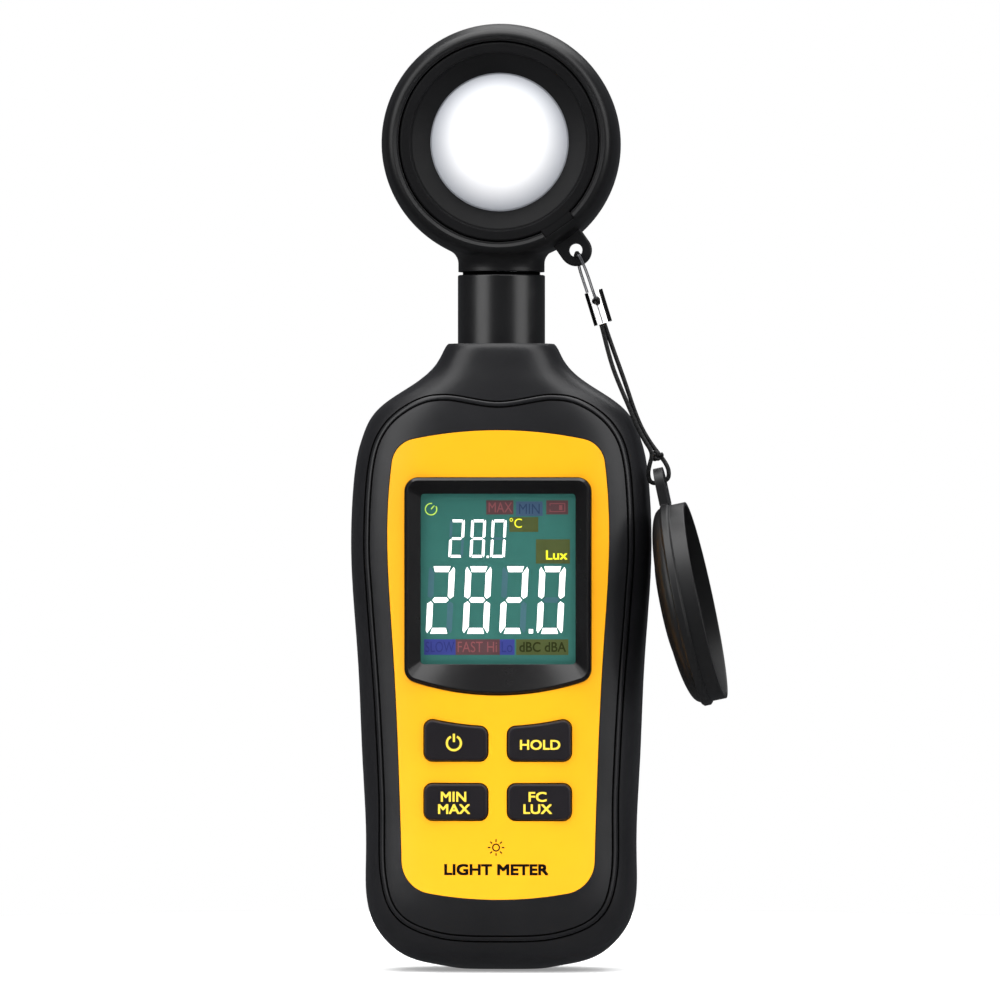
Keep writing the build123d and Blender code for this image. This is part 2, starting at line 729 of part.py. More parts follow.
with BuildPart() as head_form:
    with BuildSketch(head_level):
        with BuildLine():
            Polyline((0, -9.0), (17.4, -9.0), (17.9, -9.45))
            Spline((17.9, -9.45), (19.4, -7.9), (HEAD_RADIUS, -3.0), tangents=[(1, 0.15), (0, 1)])
            Line((HEAD_RADIUS, -3.0), (HEAD_RADIUS, 3.0))
            Spline((HEAD_RADIUS, 3.0), (18.6, 7.4), (14.5, 9.3), (0, 10.3), tangents=[(0, 1), (-1, 0)])
            Line((0, 10.3), (0, -9.0))
        make_face()
    revolve(axis=head_axis)
    with BuildSketch(Plane.XY.offset(COLLAR_BOTTOM)):
        Circle(COLLAR_RADIUS)
    extrude(amount=6)
    seam = edges().filter_by(lambda e: 119 < e.center().Z < 125 and e.geom_type != GeomType.CIRCLE)
    fillet(seam, 2.4)

with BuildPart() as head_neck_cuts:
    with BuildSketch(Plane.XY.offset(COLLAR_BOTTOM)):
        Circle(SPINDLE_RADIUS)
    extrude(amount=SPINDLE_FLANGE[0] - COLLAR_BOTTOM)
    with BuildSketch(Plane.XY.offset(SPINDLE_FLANGE[0])):
        Circle(6.4)
    extrude(amount=SPINDLE_FLANGE[1] - SPINDLE_FLANGE[0])
    with BuildSketch(Plane.XY.offset(SPINDLE_FLANGE[1])):
        Circle(SPINDLE_BORE)
    extrude(amount=4)
    with BuildSketch(Plane.XY.offset(COLLAR_BOTTOM)):
        with BuildLine():
            sweep_angle = STOP_ANGLES[1] - STOP_ANGLES[0]
            outer_arc = CenterArc((0, 0), 6.6, STOP_ANGLES[0], sweep_angle)
            inner_arc = CenterArc((0, 0), SPINDLE_RADIUS - 0.2, STOP_ANGLES[0], sweep_angle)
            Line(outer_arc @ 0, inner_arc @ 0)
            Line(outer_arc @ 1, inner_arc @ 1)
        make_face()
    extrude(amount=1.4)

with BuildPart() as head_lug:
    with BuildSketch(facing(LUG_FACES[1])):
        with Locations(Location((0, HEAD_Z), LUG_ANGLE)):
            with Locations((LUG_DISTANCE, 0)):
                Circle(LUG_RADIUS)
            with Locations((LUG_DISTANCE - 2.5, 0)):
                Rectangle(5.0, 2 * LUG_RADIUS)
    extrude(amount=LUG_FACES[1] - LUG_FACES[0])
    fillet(edges().filter_by(GeomType.CIRCLE), 0.3)

with BuildPart() as head_front_shell:
    add(head_form.part)
    split(bisect_by=Plane.XZ, keep=Keep.TOP)
    add(head_lug.part)
    with BuildSketch(head_level):
        Polygon((0, 0), (18.3, 0), (18.3, -4.0), (9.5, -4.0), (9.5, -12.0), (0, -12.0), align=None)
        Polygon((9.0, -5.6), (RECESS_RADIUS, -5.6), (RECESS_RADIUS, -12.0), (9.0, -12.0), align=None)
    revolve(axis=head_axis, mode=Mode.SUBTRACT)
    add(head_neck_cuts.part, mode=Mode.SUBTRACT)
    with BuildSketch(facing(0)):
        with Locations((0, HEAD_Z)):
            with Locations(*HEAD_SEATS):
                Circle(2.3)
    extrude(amount=4.5)
    with BuildSketch(facing(-2.4)):
        with Locations((-10.9, HEAD_Z), (10.9, HEAD_Z)):
            Circle(1.2)
    extrude(amount=2.0)
    with BuildSketch(facing(0)):
        with Locations((0, HEAD_Z)):
            with Locations(*HEAD_SEATS):
                Circle(0.9)
    extrude(amount=4.2, mode=Mode.SUBTRACT)
    with BuildSketch(facing(-2.4)):
        with Locations((-10.9, HEAD_Z), (10.9, HEAD_Z)):
            Circle(0.5)
    extrude(amount=2.2, mode=Mode.SUBTRACT)
    with BuildSketch(facing(TAB_FACES[1] + NOTCH_GAP)):
        with Locations(Location((0, HEAD_Z), LUG_ANGLE)):
            with Locations((TAB_END + NOTCH_GAP - 1.5, 0)):
                Rectangle(3.0, TAB_WIDTH + 2 * NOTCH_GAP)
    extrude(amount=3.0, mode=Mode.SUBTRACT)
    with BuildSketch(facing(LUG_FACES[1] + 1)):
        with Locations(Location((0, HEAD_Z), LUG_ANGLE)):
            with Locations((LUG_DISTANCE, 0)):
                Circle(LUG_HOLE)
    extrude(amount=FRONT, mode=Mode.SUBTRACT)
finish(head_front_shell, "head_front_shell")

with BuildPart() as head_rear_shell:
    add(head_form.part)
    split(bisect_by=Plane.XZ, keep=Keep.BOTTOM)
    with BuildSketch(head_level):
        Polygon((0, 0), (18.3, 0), (18.3, 3.4), (15.6, 7.0), (0, 8.4), align=None)
    revolve(axis=head_axis, mode=Mode.SUBTRACT)
    add(head_neck_cuts.part, mode=Mode.SUBTRACT)
    with BuildSketch(facing(0)):
        with Locations((0, HEAD_Z)):
            with Locations(*HEAD_SEATS):
                Circle(2.6)
    extrude(amount=-8.2)
    with BuildSketch(facing(0)):
        with Locations((0, HEAD_Z)):
            with Locations(*HEAD_SEATS):
                Circle(1.0)
    extrude(amount=-FRONT, mode=Mode.SUBTRACT)
    with BuildSketch(facing(4.5)):
        with Locations((0, HEAD_Z)):
            with Locations(*HEAD_SEATS):
                Circle(1.9)
    extrude(amount=-FRONT, mode=Mode.SUBTRACT)
finish(head_rear_shell, "head_rear_shell")

with BuildPart() as head_screws:
    with BuildSketch(facing(4.5)):
        with Locations((0, HEAD_Z)):
            with Locations(*HEAD_SEATS):
                Circle(1.75)
    extrude(amount=-1.4)
    with BuildSketch(facing(4.5)):
        with Locations((0, HEAD_Z)):
            with Locations(*HEAD_SEATS):
                Circle(0.9)
    extrude(amount=8.4)
    with BuildSketch(facing(5.9)):
        with Locations((0, HEAD_Z)):
            with Locations(*HEAD_SEATS):
                Rectangle(2.0, 0.45)
                Rectangle(0.45, 2.0)
    extrude(amount=0.8, mode=Mode.SUBTRACT)
finish(head_screws, "head_screws")

with BuildPart() as sensor_collar:
    with BuildSketch(head_level):
        Polygon(
            (12.7, -5.6),
            (SENSOR_COLLAR_RADIUS, -5.6),
            (SENSOR_COLLAR_RADIUS, -8.75),
            (SENSOR_COLLAR_RADIUS - 0.25, -9.0),
            (15.2, -9.0),
            (15.0, -8.6),
            (14.75, -8.6),
            (11.75, -7.1),
            (11.75, -6.65),
            (12.7, -6.65),
            align=None,
        )
    revolve(axis=head_axis)
    with BuildSketch(facing(TAB_FACES[1])):
        with Locations(Location((0, HEAD_Z), LUG_ANGLE)):
            with Locations((TAB_END - 1.1, 0)):
                Rectangle(2.2, TAB_WIDTH)
    extrude(amount=TAB_FACES[1] - TAB_FACES[0])
finish(sensor_collar, "sensor_collar")


def dome_arc(edge, apex):
    """An arc from a point at a dome's edge to its top, which is on the axis."""
    rise = edge[1] - apex[1]
    radius = (edge[0] ** 2 + rise**2) / (2 * rise)
    half = asin(edge[0] / radius) / 2
    return ThreePointArc(edge, (radius * sin(half), apex[1] + radius - radius * cos(half)), apex)


with BuildPart() as diffuser_dome:
    with BuildSketch(head_level):
        with BuildLine():
            Polyline((9.9, -5.6), (12.6, -5.6), (12.6, -6.6), (11.5, -6.6), (11.5, -7.0))
            dome_arc((11.5, -7.0), (0, -12.0))
            Line((0, -12.0), (0, -10.8))
            dome_arc((9.9, -5.6), (0, -10.8))
        make_face()
    revolve(axis=head_axis)
finish(diffuser_dome, "diffuser_dome")

with BuildPart() as light_filter:
    with BuildSketch(facing(-4.5)):
        with Locations((0, HEAD_Z)):
            Circle(9.3)
    extrude(amount=1.0)
finish(light_filter, "light_filter")

with BuildPart() as sensor_board:
    with BuildSketch(facing(-0.8)):
        with Locations((0, HEAD_Z)):
            Circle(12.3)
        with Locations((-10.9, HEAD_Z), (10.9, HEAD_Z)):
            Circle(0.55, mode=Mode.SUBTRACT)
    extrude(amount=1.6)
finish(sensor_board, "sensor_board")

with BuildPart() as sensor_board_screws:
    with BuildSketch(facing(-0.8)):
        with Locations((-10.9, HEAD_Z), (10.9, HEAD_Z)):
            Circle(1.1)
    extrude(amount=-0.7)
    with BuildSketch(facing(-0.8)):
        with Locations((-10.9, HEAD_Z), (10.9, HEAD_Z)):
            Circle(0.5)
    extrude(amount=3.2)
finish(sensor_board_screws, "sensor_board_screws")

with BuildPart() as photodiode:
    with BuildSketch(facing(-2.4)):
        with Locations((0, HEAD_Z)):
            Rectangle(7.0, 7.0)
    extrude(amount=1.2)
    with BuildSketch(facing(-3.6)):
        with Locations((0, HEAD_Z)):
            Circle(2.9)
    extrude(amount=0.4)
finish(photodiode, "photodiode")

with BuildPart() as lead_socket:
    with BuildSketch(facing(-0.8)):
        with Locations((0, HEAD_Z - 9.8)):
            Rectangle(6.0, 4.2)
    extrude(amount=-3.6)
finish(lead_socket, "lead_socket")

# --------------------------------------------------------------------------- lanyard


def tube(route, diameter, radii):
    """A round tube along straight runs that tangent arcs join."""
    with BuildPart() as cord:
        with BuildLine():
            path = FilletPolyline(*route, radius=radii)
        with BuildSketch(Plane(origin=path @ 0, z_dir=path % 0)):
            Circle(diameter / 2)
        sweep()
    section = pi * diameter**2 / 4
    print(f"cord {path.length:.1f} mm, radii {[round(r, 2) for r in radii]}")
    print(f"  volume {cord.part.volume:.3f}, section times length {section * path.length:.3f}")
    return cord


def fold_radii(route):
    """The arc at each corner: 0.45 of its shorter run, over the tangent of half the turn."""
    points = [Vector(*point) for point in route]
    radii = []
    for before, corner, after in zip(points, points[1:], points[2:]):
        turn = radians((corner - before).get_angle(after - corner))
        shorter = min((corner - before).length, (after - corner).length)
        radii.append(0.45 * shorter / tan(turn / 2))
    return radii


THREAD_ROUTE = [
    (16.1, -5.4, 114.4),
    (15.3, -6.0, 116.7),
    (14.1, -6.85, 119.4),
    (13.2, -7.0, 121.45),
    (13.15, -3.0, 121.45),
    (14.0, -3.15, 119.4),
    (15.2, -4.0, 116.7),
    (16.0, -4.6, 114.4),
]
finish(tube(THREAD_ROUTE, THREAD_DIAMETER, fold_radii(THREAD_ROUTE)), "lanyard_thread")

CORD_ROUTE = [
    (16.85, -5.35, 110.9),
    (17.45, -5.35, 108.7),
    (18.2, -5.35, 105.6),
    (19.15, -5.4, 102.2),
    (20.5, -5.45, 98.8),
    (21.9, -5.45, 95.6),
    (23.1, -5.45, 92.6),
    (24.5, -5.45, 89.9),
    (26.0, -5.5, 87.7),
    (25.35, -5.3, 85.6),
    (25.1, -5.0, 83.9),
    (25.7, -5.0, 82.4),
    (28.5, -5.0, 83.0),
    (28.75, -5.0, 84.6),
    (28.1, -4.9, 86.1),
    (27.0, -4.55, 87.5),
    (25.4, -4.5, 89.6),
    (23.9, -4.55, 92.2),
    (22.7, -4.55, 95.2),
    (21.5, -4.6, 98.9),
    (20.3, -4.65, 102.3),
    (19.1, -4.6, 105.6),
    (18.1, -4.6, 108.5),
    (17.4, -4.6, 110.6),
]
finish(tube(CORD_ROUTE, CORD_DIAMETER, fold_radii(CORD_ROUTE)), "lanyard_cord")

ferrule_plane = Plane(
    origin=(FERRULE_TOP[0], LANYARD_Y, FERRULE_TOP[1]),
    x_dir=(cos(radians(FERRULE_TILT)), 0, sin(radians(FERRULE_TILT))),
    z_dir=(sin(radians(FERRULE_TILT)), 0, -cos(radians(FERRULE_TILT))),
)
with BuildPart() as lanyard_ferrule:
    with BuildSketch(ferrule_plane):
        Circle(FERRULE_RADIUS)
        Circle(FERRULE_RADIUS - 0.35, mode=Mode.SUBTRACT)
    extrude(amount=FERRULE_LENGTH)
finish(lanyard_ferrule, "lanyard_ferrule")

# --------------------------------------------------------------------------- sensor cap
# The cap's own axis points out of its open side. Up is the way to its tab.

tilt = radians(CAP_TILT)
turn = radians(CAP_TURN)
cap_axis = Vector(cos(turn) * cos(tilt), -sin(turn), cos(turn) * sin(tilt))
cap_up = Vector(-sin(tilt), 0, cos(tilt))
cap_profile = Plane(origin=CAP_CENTRE, x_dir=cap_up, z_dir=cap_up.cross(cap_axis))
cap_face = Plane(origin=CAP_CENTRE, x_dir=cap_up, z_dir=cap_axis)

with BuildPart() as cap_shell:
    with BuildSketch(cap_profile):
        with BuildLine():
            Polyline((0, -4.0), (0, -3.0))
            Spline((0, -3.0), (12.0, -2.3), (15.6, -0.6), tangents=[(1, 0), (0.4, 1)])
            Polyline((15.6, -0.6), (15.9, 0.8), (16.4, 0.8), (16.4, 3.3), (17.0, 3.3), (17.0, 0.8))
            Polyline((17.0, 0.8), (17.25, 0.8), (CAP_FLANGE, 0.5), (CAP_FLANGE, -0.5), (17.25, -0.8))
            Line((17.25, -0.8), (16.9, -0.8))
            Spline((16.9, -0.8), (15.2, -2.4), (9.0, -3.6), (0, -4.0), tangents=[(-0.25, -1), (-1, 0)])
        make_face()
    revolve(axis=Axis(CAP_CENTRE, cap_axis))
    with BuildSketch(cap_face.offset(-0.8)):
        with Locations((TAB_HOLE_DISTANCE - 2.0, 0)):
            Rectangle(3.4, 6.0)
        with Locations((TAB_HOLE_DISTANCE - 0.3, 0)):
            Circle(3.0)
        with Locations((TAB_HOLE_DISTANCE, 0)):
            Circle(0.95, mode=Mode.SUBTRACT)
    extrude(amount=1.6)
finish(cap_shell, "cap_shell")

tab_hole = Vector(*CAP_CENTRE) + cap_up * TAB_HOLE_DISTANCE
print("cap hinge", tab_hole, "axis", cap_axis)
eyelet = ring_points(LUG_DISTANCE, [LUG_ANGLE])[0]
print("eyelet", (eyelet[0], LANYARD_Y, HEAD_Z + eyelet[1]), "angle", degrees(atan2(eyelet[1], eyelet[0])))
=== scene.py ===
from math import cos, pi, radians, sin

import bmesh
import bpy
from mathutils import Matrix, Vector
from mathutils.bvhtree import BVHTree


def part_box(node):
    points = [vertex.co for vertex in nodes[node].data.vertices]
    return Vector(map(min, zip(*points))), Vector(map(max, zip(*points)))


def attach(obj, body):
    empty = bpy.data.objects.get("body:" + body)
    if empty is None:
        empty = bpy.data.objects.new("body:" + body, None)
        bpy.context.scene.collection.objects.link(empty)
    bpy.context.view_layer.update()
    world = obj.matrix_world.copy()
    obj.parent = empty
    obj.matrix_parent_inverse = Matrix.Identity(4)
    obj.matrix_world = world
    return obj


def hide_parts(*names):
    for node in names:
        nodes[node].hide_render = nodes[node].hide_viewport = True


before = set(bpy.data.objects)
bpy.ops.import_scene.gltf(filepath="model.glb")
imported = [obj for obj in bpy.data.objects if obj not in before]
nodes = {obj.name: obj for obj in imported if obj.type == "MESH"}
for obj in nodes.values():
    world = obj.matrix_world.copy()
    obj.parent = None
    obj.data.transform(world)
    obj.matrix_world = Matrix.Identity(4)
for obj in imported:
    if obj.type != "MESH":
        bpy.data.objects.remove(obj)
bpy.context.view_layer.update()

MM = 0.001
scene = bpy.context.scene


def at(x, y, z):
    """A point given in millimetres, in metres."""
    return Vector((x, y, z)) * MM


# --------------------------------------------------------------------------- camera

VIEW_HEIGHT = 168.95  # what the frame takes in at the meter's front, in millimetres
VIEW_CENTRE = at(-0.25, 0, 79.75)
CAMERA_DISTANCE = 1.4
CAMERA_TURN = radians(2.8)  # to the object's right
SENSOR_WIDTH = 36
FRONT_REACH = 0.012  # how far the meter's front is ahead of the origin

camera_data = bpy.data.cameras.new("camera")
camera = bpy.data.objects.new("camera", camera_data)
scene.collection.objects.link(camera)
camera_data.sensor_width = SENSOR_WIDTH
camera_data.lens = SENSOR_WIDTH * (CAMERA_DISTANCE - FRONT_REACH) / (VIEW_HEIGHT * MM)
camera_data.clip_start = 0.05
camera_data.clip_end = 20
camera.location = VIEW_CENTRE + Vector((sin(CAMERA_TURN), -cos(CAMERA_TURN), 0)) * CAMERA_DISTANCE
camera.rotation_euler = (pi / 2, 0, CAMERA_TURN)
scene.camera = camera
scene.view_settings.view_transform = "Standard"

# --------------------------------------------------------------------------- materials

PATCH_EDGES = (0.35, 0.65)  # where the colour patches' ramp starts and ends
GRAIN_DEPTH_MM = 0.05
BRAID_DEPTH_MM = 0.08
COAT_ROUGHNESS = 0.12


def colour(code):
    """A linear colour from its sRGB code."""
    parts = [int(code[i : i + 2], 16) / 255 for i in (0, 2, 4)]
    return [p / 12.92 if p <= 0.04045 else ((p + 0.055) / 1.055) ** 2.4 for p in parts] + [1.0]


def node_tree(name):
    made = bpy.data.materials.new(name)
    made.use_nodes = True
    tree = made.node_tree
    return made, tree, tree.nodes["Principled BSDF"]


def surface(
    name,
    code,
    roughness,
    grain=0.12,
    grain_mm=0.35,
    mottle=0.10,
    patch_mm=9.0,
    edge_mm=0.0,
    smudge=0.12,
    specular=0.5,
    metallic=0.0,
    coat=0.0,
    glow=0.0,
    stretch=(1, 1, 1),
):
    """A moulded or plated finish: fine grain, patches of colour, uneven gloss and softened edges."""
    made, tree, shader = node_tree(name)
    link = tree.links.new
    place = tree.nodes.new("ShaderNodeTexCoord")
    spread = tree.nodes.new("ShaderNodeMapping")
    spread.inputs["Scale"].default_value = stretch
    link(place.outputs["Object"], spread.inputs["Vector"])

    def noise(size_mm, detail):
        made_noise = tree.nodes.new("ShaderNodeTexNoise")
        made_noise.inputs["Scale"].default_value = 1 / (size_mm * MM)
        made_noise.inputs["Detail"].default_value = detail
        link(spread.outputs["Vector"], made_noise.inputs["Vector"])
        return made_noise

    patches = noise(patch_mm, 4)
    ramp = tree.nodes.new("ShaderNodeValToRGB")
    base = colour(code)
    for stop, share, edge in zip(ramp.color_ramp.elements, (1 - mottle, 1 + mottle), PATCH_EDGES):
        stop.color = [min(1, c * share) for c in base[:3]] + [1.0]
        stop.position = edge
    link(patches.outputs["Fac"], ramp.inputs["Fac"])
    link(ramp.outputs["Color"], shader.inputs["Base Color"])

    gloss = tree.nodes.new("ShaderNodeMapRange")
    gloss.inputs["To Min"].default_value = max(0.02, roughness * (1 - smudge))
    gloss.inputs["To Max"].default_value = min(1, roughness * (1 + smudge))
    link(noise(patch_mm * 0.4, 6).outputs["Fac"], gloss.inputs["Value"])
    link(gloss.outputs["Result"], shader.inputs["Roughness"])

    bump = tree.nodes.new("ShaderNodeBump")
    bump.inputs["Strength"].default_value = grain
    bump.inputs["Distance"].default_value = GRAIN_DEPTH_MM * MM
    link(noise(grain_mm, 3).outputs["Fac"], bump.inputs["Height"])
    if edge_mm:
        soft = tree.nodes.new("ShaderNodeBevel")
        soft.samples = 6
        soft.inputs["Radius"].default_value = edge_mm * MM
        link(soft.outputs["Normal"], bump.inputs["Normal"])
    link(bump.outputs["Normal"], shader.inputs["Normal"])

    shader.inputs["Specular IOR Level"].default_value = specular
    shader.inputs["Metallic"].default_value = metallic
    shader.inputs["Coat Weight"].default_value = coat
    shader.inputs["Coat Roughness"].default_value = COAT_ROUGHNESS
    if glow:
        link(ramp.outputs["Color"], shader.inputs["Emission Color"])
        shader.inputs["Emission Strength"].default_value = glow
    return made


def braid(name, code, width_mm, dark=0.25, roughness=0.6):
    """Braided cord: two sets of slanting strands, with painted shade in the gaps between them."""
    made, tree, shader = node_tree(name)
    link = tree.links.new
    place = tree.nodes.new("ShaderNodeTexCoord")
    waves = []
    for lean in (1, -1):
        turn = tree.nodes.new("ShaderNodeMapping")
        turn.inputs["Rotation"].default_value = (radians(20), lean * radians(40), 0)
        wave = tree.nodes.new("ShaderNodeTexWave")
        wave.inputs["Scale"].default_value = 0.32 / (width_mm * MM)
        wave.inputs["Distortion"].default_value = 0.6
        wave.inputs["Detail Scale"].default_value = 2
        wave.bands_direction = "Z"
        link(place.outputs["Object"], turn.inputs["Vector"])
        link(turn.outputs["Vector"], wave.inputs["Vector"])
        waves.append(wave)
    both = tree.nodes.new("ShaderNodeMath")
    both.operation = "MAXIMUM"
    for wave, socket in zip(waves, both.inputs):
        link(wave.outputs["Fac"], socket)
    ramp = tree.nodes.new("ShaderNodeValToRGB")
    base = colour(code)
    # Painted shade: the low places between strands get the base colour times dark.
    ramp.color_ramp.elements[0].color = [c * dark for c in base[:3]] + [1.0]
    ramp.color_ramp.elements[1].color = base
    link(both.outputs["Value"], ramp.inputs["Fac"])
    link(ramp.outputs["Color"], shader.inputs["Base Color"])
    bump = tree.nodes.new("ShaderNodeBump")
    bump.inputs["Strength"].default_value = 0.6
    bump.inputs["Distance"].default_value = BRAID_DEPTH_MM * MM
    link(both.outputs["Value"], bump.inputs["Height"])
    link(bump.outputs["Normal"], shader.inputs["Normal"])
    shader.inputs["Roughness"].default_value = roughness
    shader.inputs["Sheen Weight"].default_value = 0.08
    shader.inputs["Specular IOR Level"].default_value = 0.35
    return made


def clear(name, code, alpha, roughness=0.04):
    """Clear moulded plastic or glass, with faint smears."""
    made, tree, shader = node_tree(name)
    link = tree.links.new
    place = tree.nodes.new("ShaderNodeTexCoord")
    smear = tree.nodes.new("ShaderNodeTexNoise")
    smear.inputs["Scale"].default_value = 1 / (6 * MM)
    link(place.outputs["Object"], smear.inputs["Vector"])
    gloss = tree.nodes.new("ShaderNodeMapRange")
    gloss.inputs["To Min"].default_value = roughness
    gloss.inputs["To Max"].default_value = roughness * 2.5
    link(smear.outputs["Fac"], gloss.inputs["Value"])
    link(gloss.outputs["Result"], shader.inputs["Roughness"])
    shader.inputs["Base Color"].default_value = colour(code)
    shader.inputs["Alpha"].default_value = alpha
    return made


def lit(name, code, strength, mottle=0.03):
    """Something that glows on the display."""
    return surface(
        name, code, 0.5, grain=0.02, grain_mm=0.5, mottle=mottle, patch_mm=2.0, specular=0.1, glow=strength
    )


case_black = surface("case_black", "18181A", 0.36, grain=0.10, grain_mm=0.28, edge_mm=0.12, specular=0.36)
rear_black = surface("rear_black", "141416", 0.5, grain=0.22, grain_mm=0.45, edge_mm=0.12, specular=0.25)
neck_black = surface("neck_black", "111112", 0.31, grain=0.06, grain_mm=0.25, edge_mm=0.10, specular=0.6)
head_black = surface("head_black", "111112", 0.38, grain=0.08, grain_mm=0.26, edge_mm=0.14, specular=0.33)
collar_black = surface("collar_black", "121213", 0.45, grain=0.06, grain_mm=0.22, edge_mm=0.2, specular=0.14)
cap_black = surface("cap_black", "131314", 0.42, grain=0.10, grain_mm=0.3, edge_mm=0.22, specular=0.4)
yellow = surface(
    "panel_yellow", "F6A814", 0.42, grain=0.10, grain_mm=0.30, mottle=0.018, edge_mm=0.10, specular=0.2
)
bezel_black = surface("bezel_black", "0E0D0E", 0.26, grain=0.04, grain_mm=0.3, edge_mm=0.12, specular=0.36)
key_black = surface("key_black", "19161A", 0.42, grain=0.14, grain_mm=0.22, edge_mm=0.35, specular=0.3)
# Near-black for the thrust washer, and painted shade for the bead's grooves.
washer_black_and_groove_shade = surface("washer_black_and_groove_shade", "020202", 0.8, grain=0.1, specular=0.03)
bead_black = surface("bead_black", "161618", 0.34, grain=0.06, grain_mm=0.25, specular=0.42)
key_yellow = surface("key_print", "E8CA40", 0.5, grain=0.08, mottle=0.04, specular=0.3)
print_black = surface("panel_print", "0A0906", 0.6, grain=0.06, mottle=0.05, specular=0.12)
# The dome's glow is a painted glow: the diffuser is no lamp.
dome_white_painted_light = surface(
    "dome_white_painted_light", "F4F4F5", 0.6, grain=0.03, grain_mm=0.5, mottle=0.012, specular=0.05, glow=0.3
)


def paint_shade_outwards(made, centre, inner, outer, code):
    """Painted shade: the colour turns to another between two distances from an axis along Y, in millimetres,
    and the glow with it.
    """
    tree = made.node_tree
    link = tree.links.new
    shader = tree.nodes["Principled BSDF"]
    place = tree.nodes.new("ShaderNodeTexCoord")
    middle = tree.nodes.new("ShaderNodeMapping")
    middle.inputs["Location"].default_value = (-centre[0] * MM, 0, -centre[1] * MM)
    flat = tree.nodes.new("ShaderNodeVectorMath")
    flat.operation = "MULTIPLY"
    flat.inputs[1].default_value = (1, 0, 1)
    reach = tree.nodes.new("ShaderNodeVectorMath")
    reach.operation = "LENGTH"
    share = tree.nodes.new("ShaderNodeMapRange")
    share.interpolation_type = "SMOOTHSTEP"
    share.inputs["From Min"].default_value = inner * MM
    share.inputs["From Max"].default_value = outer * MM
    mix = tree.nodes.new("ShaderNodeMix")
    mix.data_type = "RGBA"
    mix.blend_type = "MULTIPLY"
    mix.inputs[7].default_value = colour(code)
    old = shader.inputs["Base Color"].links[0].from_socket
    link(place.outputs["Object"], middle.inputs["Vector"])
    link(middle.outputs["Vector"], flat.inputs[0])
    link(flat.outputs["Vector"], reach.inputs[0])
    link(reach.outputs["Value"], share.inputs["Value"])
    link(share.outputs["Result"], mix.inputs[0])
    link(old, mix.inputs[6])
    link(mix.outputs[2], shader.inputs["Base Color"])
    link(mix.outputs[2], shader.inputs["Emission Color"])


HEAD_CENTRE = (0.0, 140.45)
# Painted shade: the dome's colour, and its glow with it, darkens from 4.6 mm out to its rim at 12.6 mm,
# where it turns away from the front light.
paint_shade_outwards(dome_white_painted_light, HEAD_CENTRE, 4.6, 12.6, "A0A3A9")
steel = surface(
    "screw_steel", "B9BABD", 0.32, grain=0.2, grain_mm=0.3, metallic=1.0, stretch=(1, 1, 5), edge_mm=0.05
)
# Painted reflection and glow: the ferrule's white and its glow stand for the bright surroundings mirrored in
# its plating.
chrome_painted_glow = surface(
    "ferrule_chrome_painted_glow",
    "FAFAFA",
    0.2,
    grain=0.01,
    grain_mm=0.5,
    metallic=0.3,
    mottle=0.01,
    smudge=0.2,
    glow=0.28,
)
# Painted reflection: near-black for the dark surroundings mirrored down the ferrule's sides.
reflection_black = surface("ferrule_painted_reflection", "030303", 0.4, grain=0.05, specular=0.2)
seam_grey = surface("ferrule_seam", "77777A", 0.4, grain=0.05, metallic=0.6)
brass = surface("contact_brass", "C9A45C", 0.35, grain=0.2, metallic=1.0)
board_green = surface("board_green", "0E4A24", 0.35, grain=0.2, grain_mm=0.6, mottle=0.2, patch_mm=2.5)
chip = surface("chip_black", "141414", 0.5, grain=0.2, grain_mm=0.3)
mat_grey = surface("key_mat", "8C8E90", 0.7, grain=0.2, mottle=0.06)
nylon = surface("nylon_white", "DAD8CF", 0.5, grain=0.1, mottle=0.04, patch_mm=3)
filter_glass = surface("filter_green", "6FA08A", 0.12, grain=0.02, mottle=0.03)
cell_wrap = surface("cell_wrap", "23303F", 0.25, grain=0.05, mottle=0.15, coat=0.4)
silver_strand = surface(
    "silver_strand", "58585C", 0.32, grain=0.4, grain_mm=0.15, mottle=0.25, patch_mm=0.5, metallic=0.6
)
cord_black = braid("cord_black", "0B0B0C", 0.75)
knot_black = surface("knot_black", "070708", 0.6, grain=0.6, grain_mm=0.25, specular=0.3)
window_clear = clear("window_clear", "000000", 0.04)
teal = lit("lcd_teal", "30615A", 0.28, mottle=0.015)
digit_white = lit("lcd_white", "FFFFFF", 0.8, mottle=0.0)
unit_yellow = lit("lcd_yellow", "EBE832", 0.35)
timer_green = lit("lcd_green", "BFE85C", 0.35)
tag_red = lit("lcd_red_tag", "523A3D", 0.2)
tag_red_text = lit("lcd_red_text", "7C474A", 0.25)
tag_blue = lit("lcd_blue_tag", "3B5068", 0.2)
tag_blue_text = lit("lcd_blue_text", "2A3C58", 0.1)
tag_violet = lit("lcd_violet_tag", "343B7C", 0.2)
tag_violet_text = lit("lcd_violet_text", "2C336C", 0.12)
tag_olive = lit("lcd_olive_tag", "48502D", 0.2)
tag_olive_text = lit("lcd_olive_text", "2A2F14", 0.05)
ghost_segment = lit("lcd_ghost", "3E6069", 0.26)

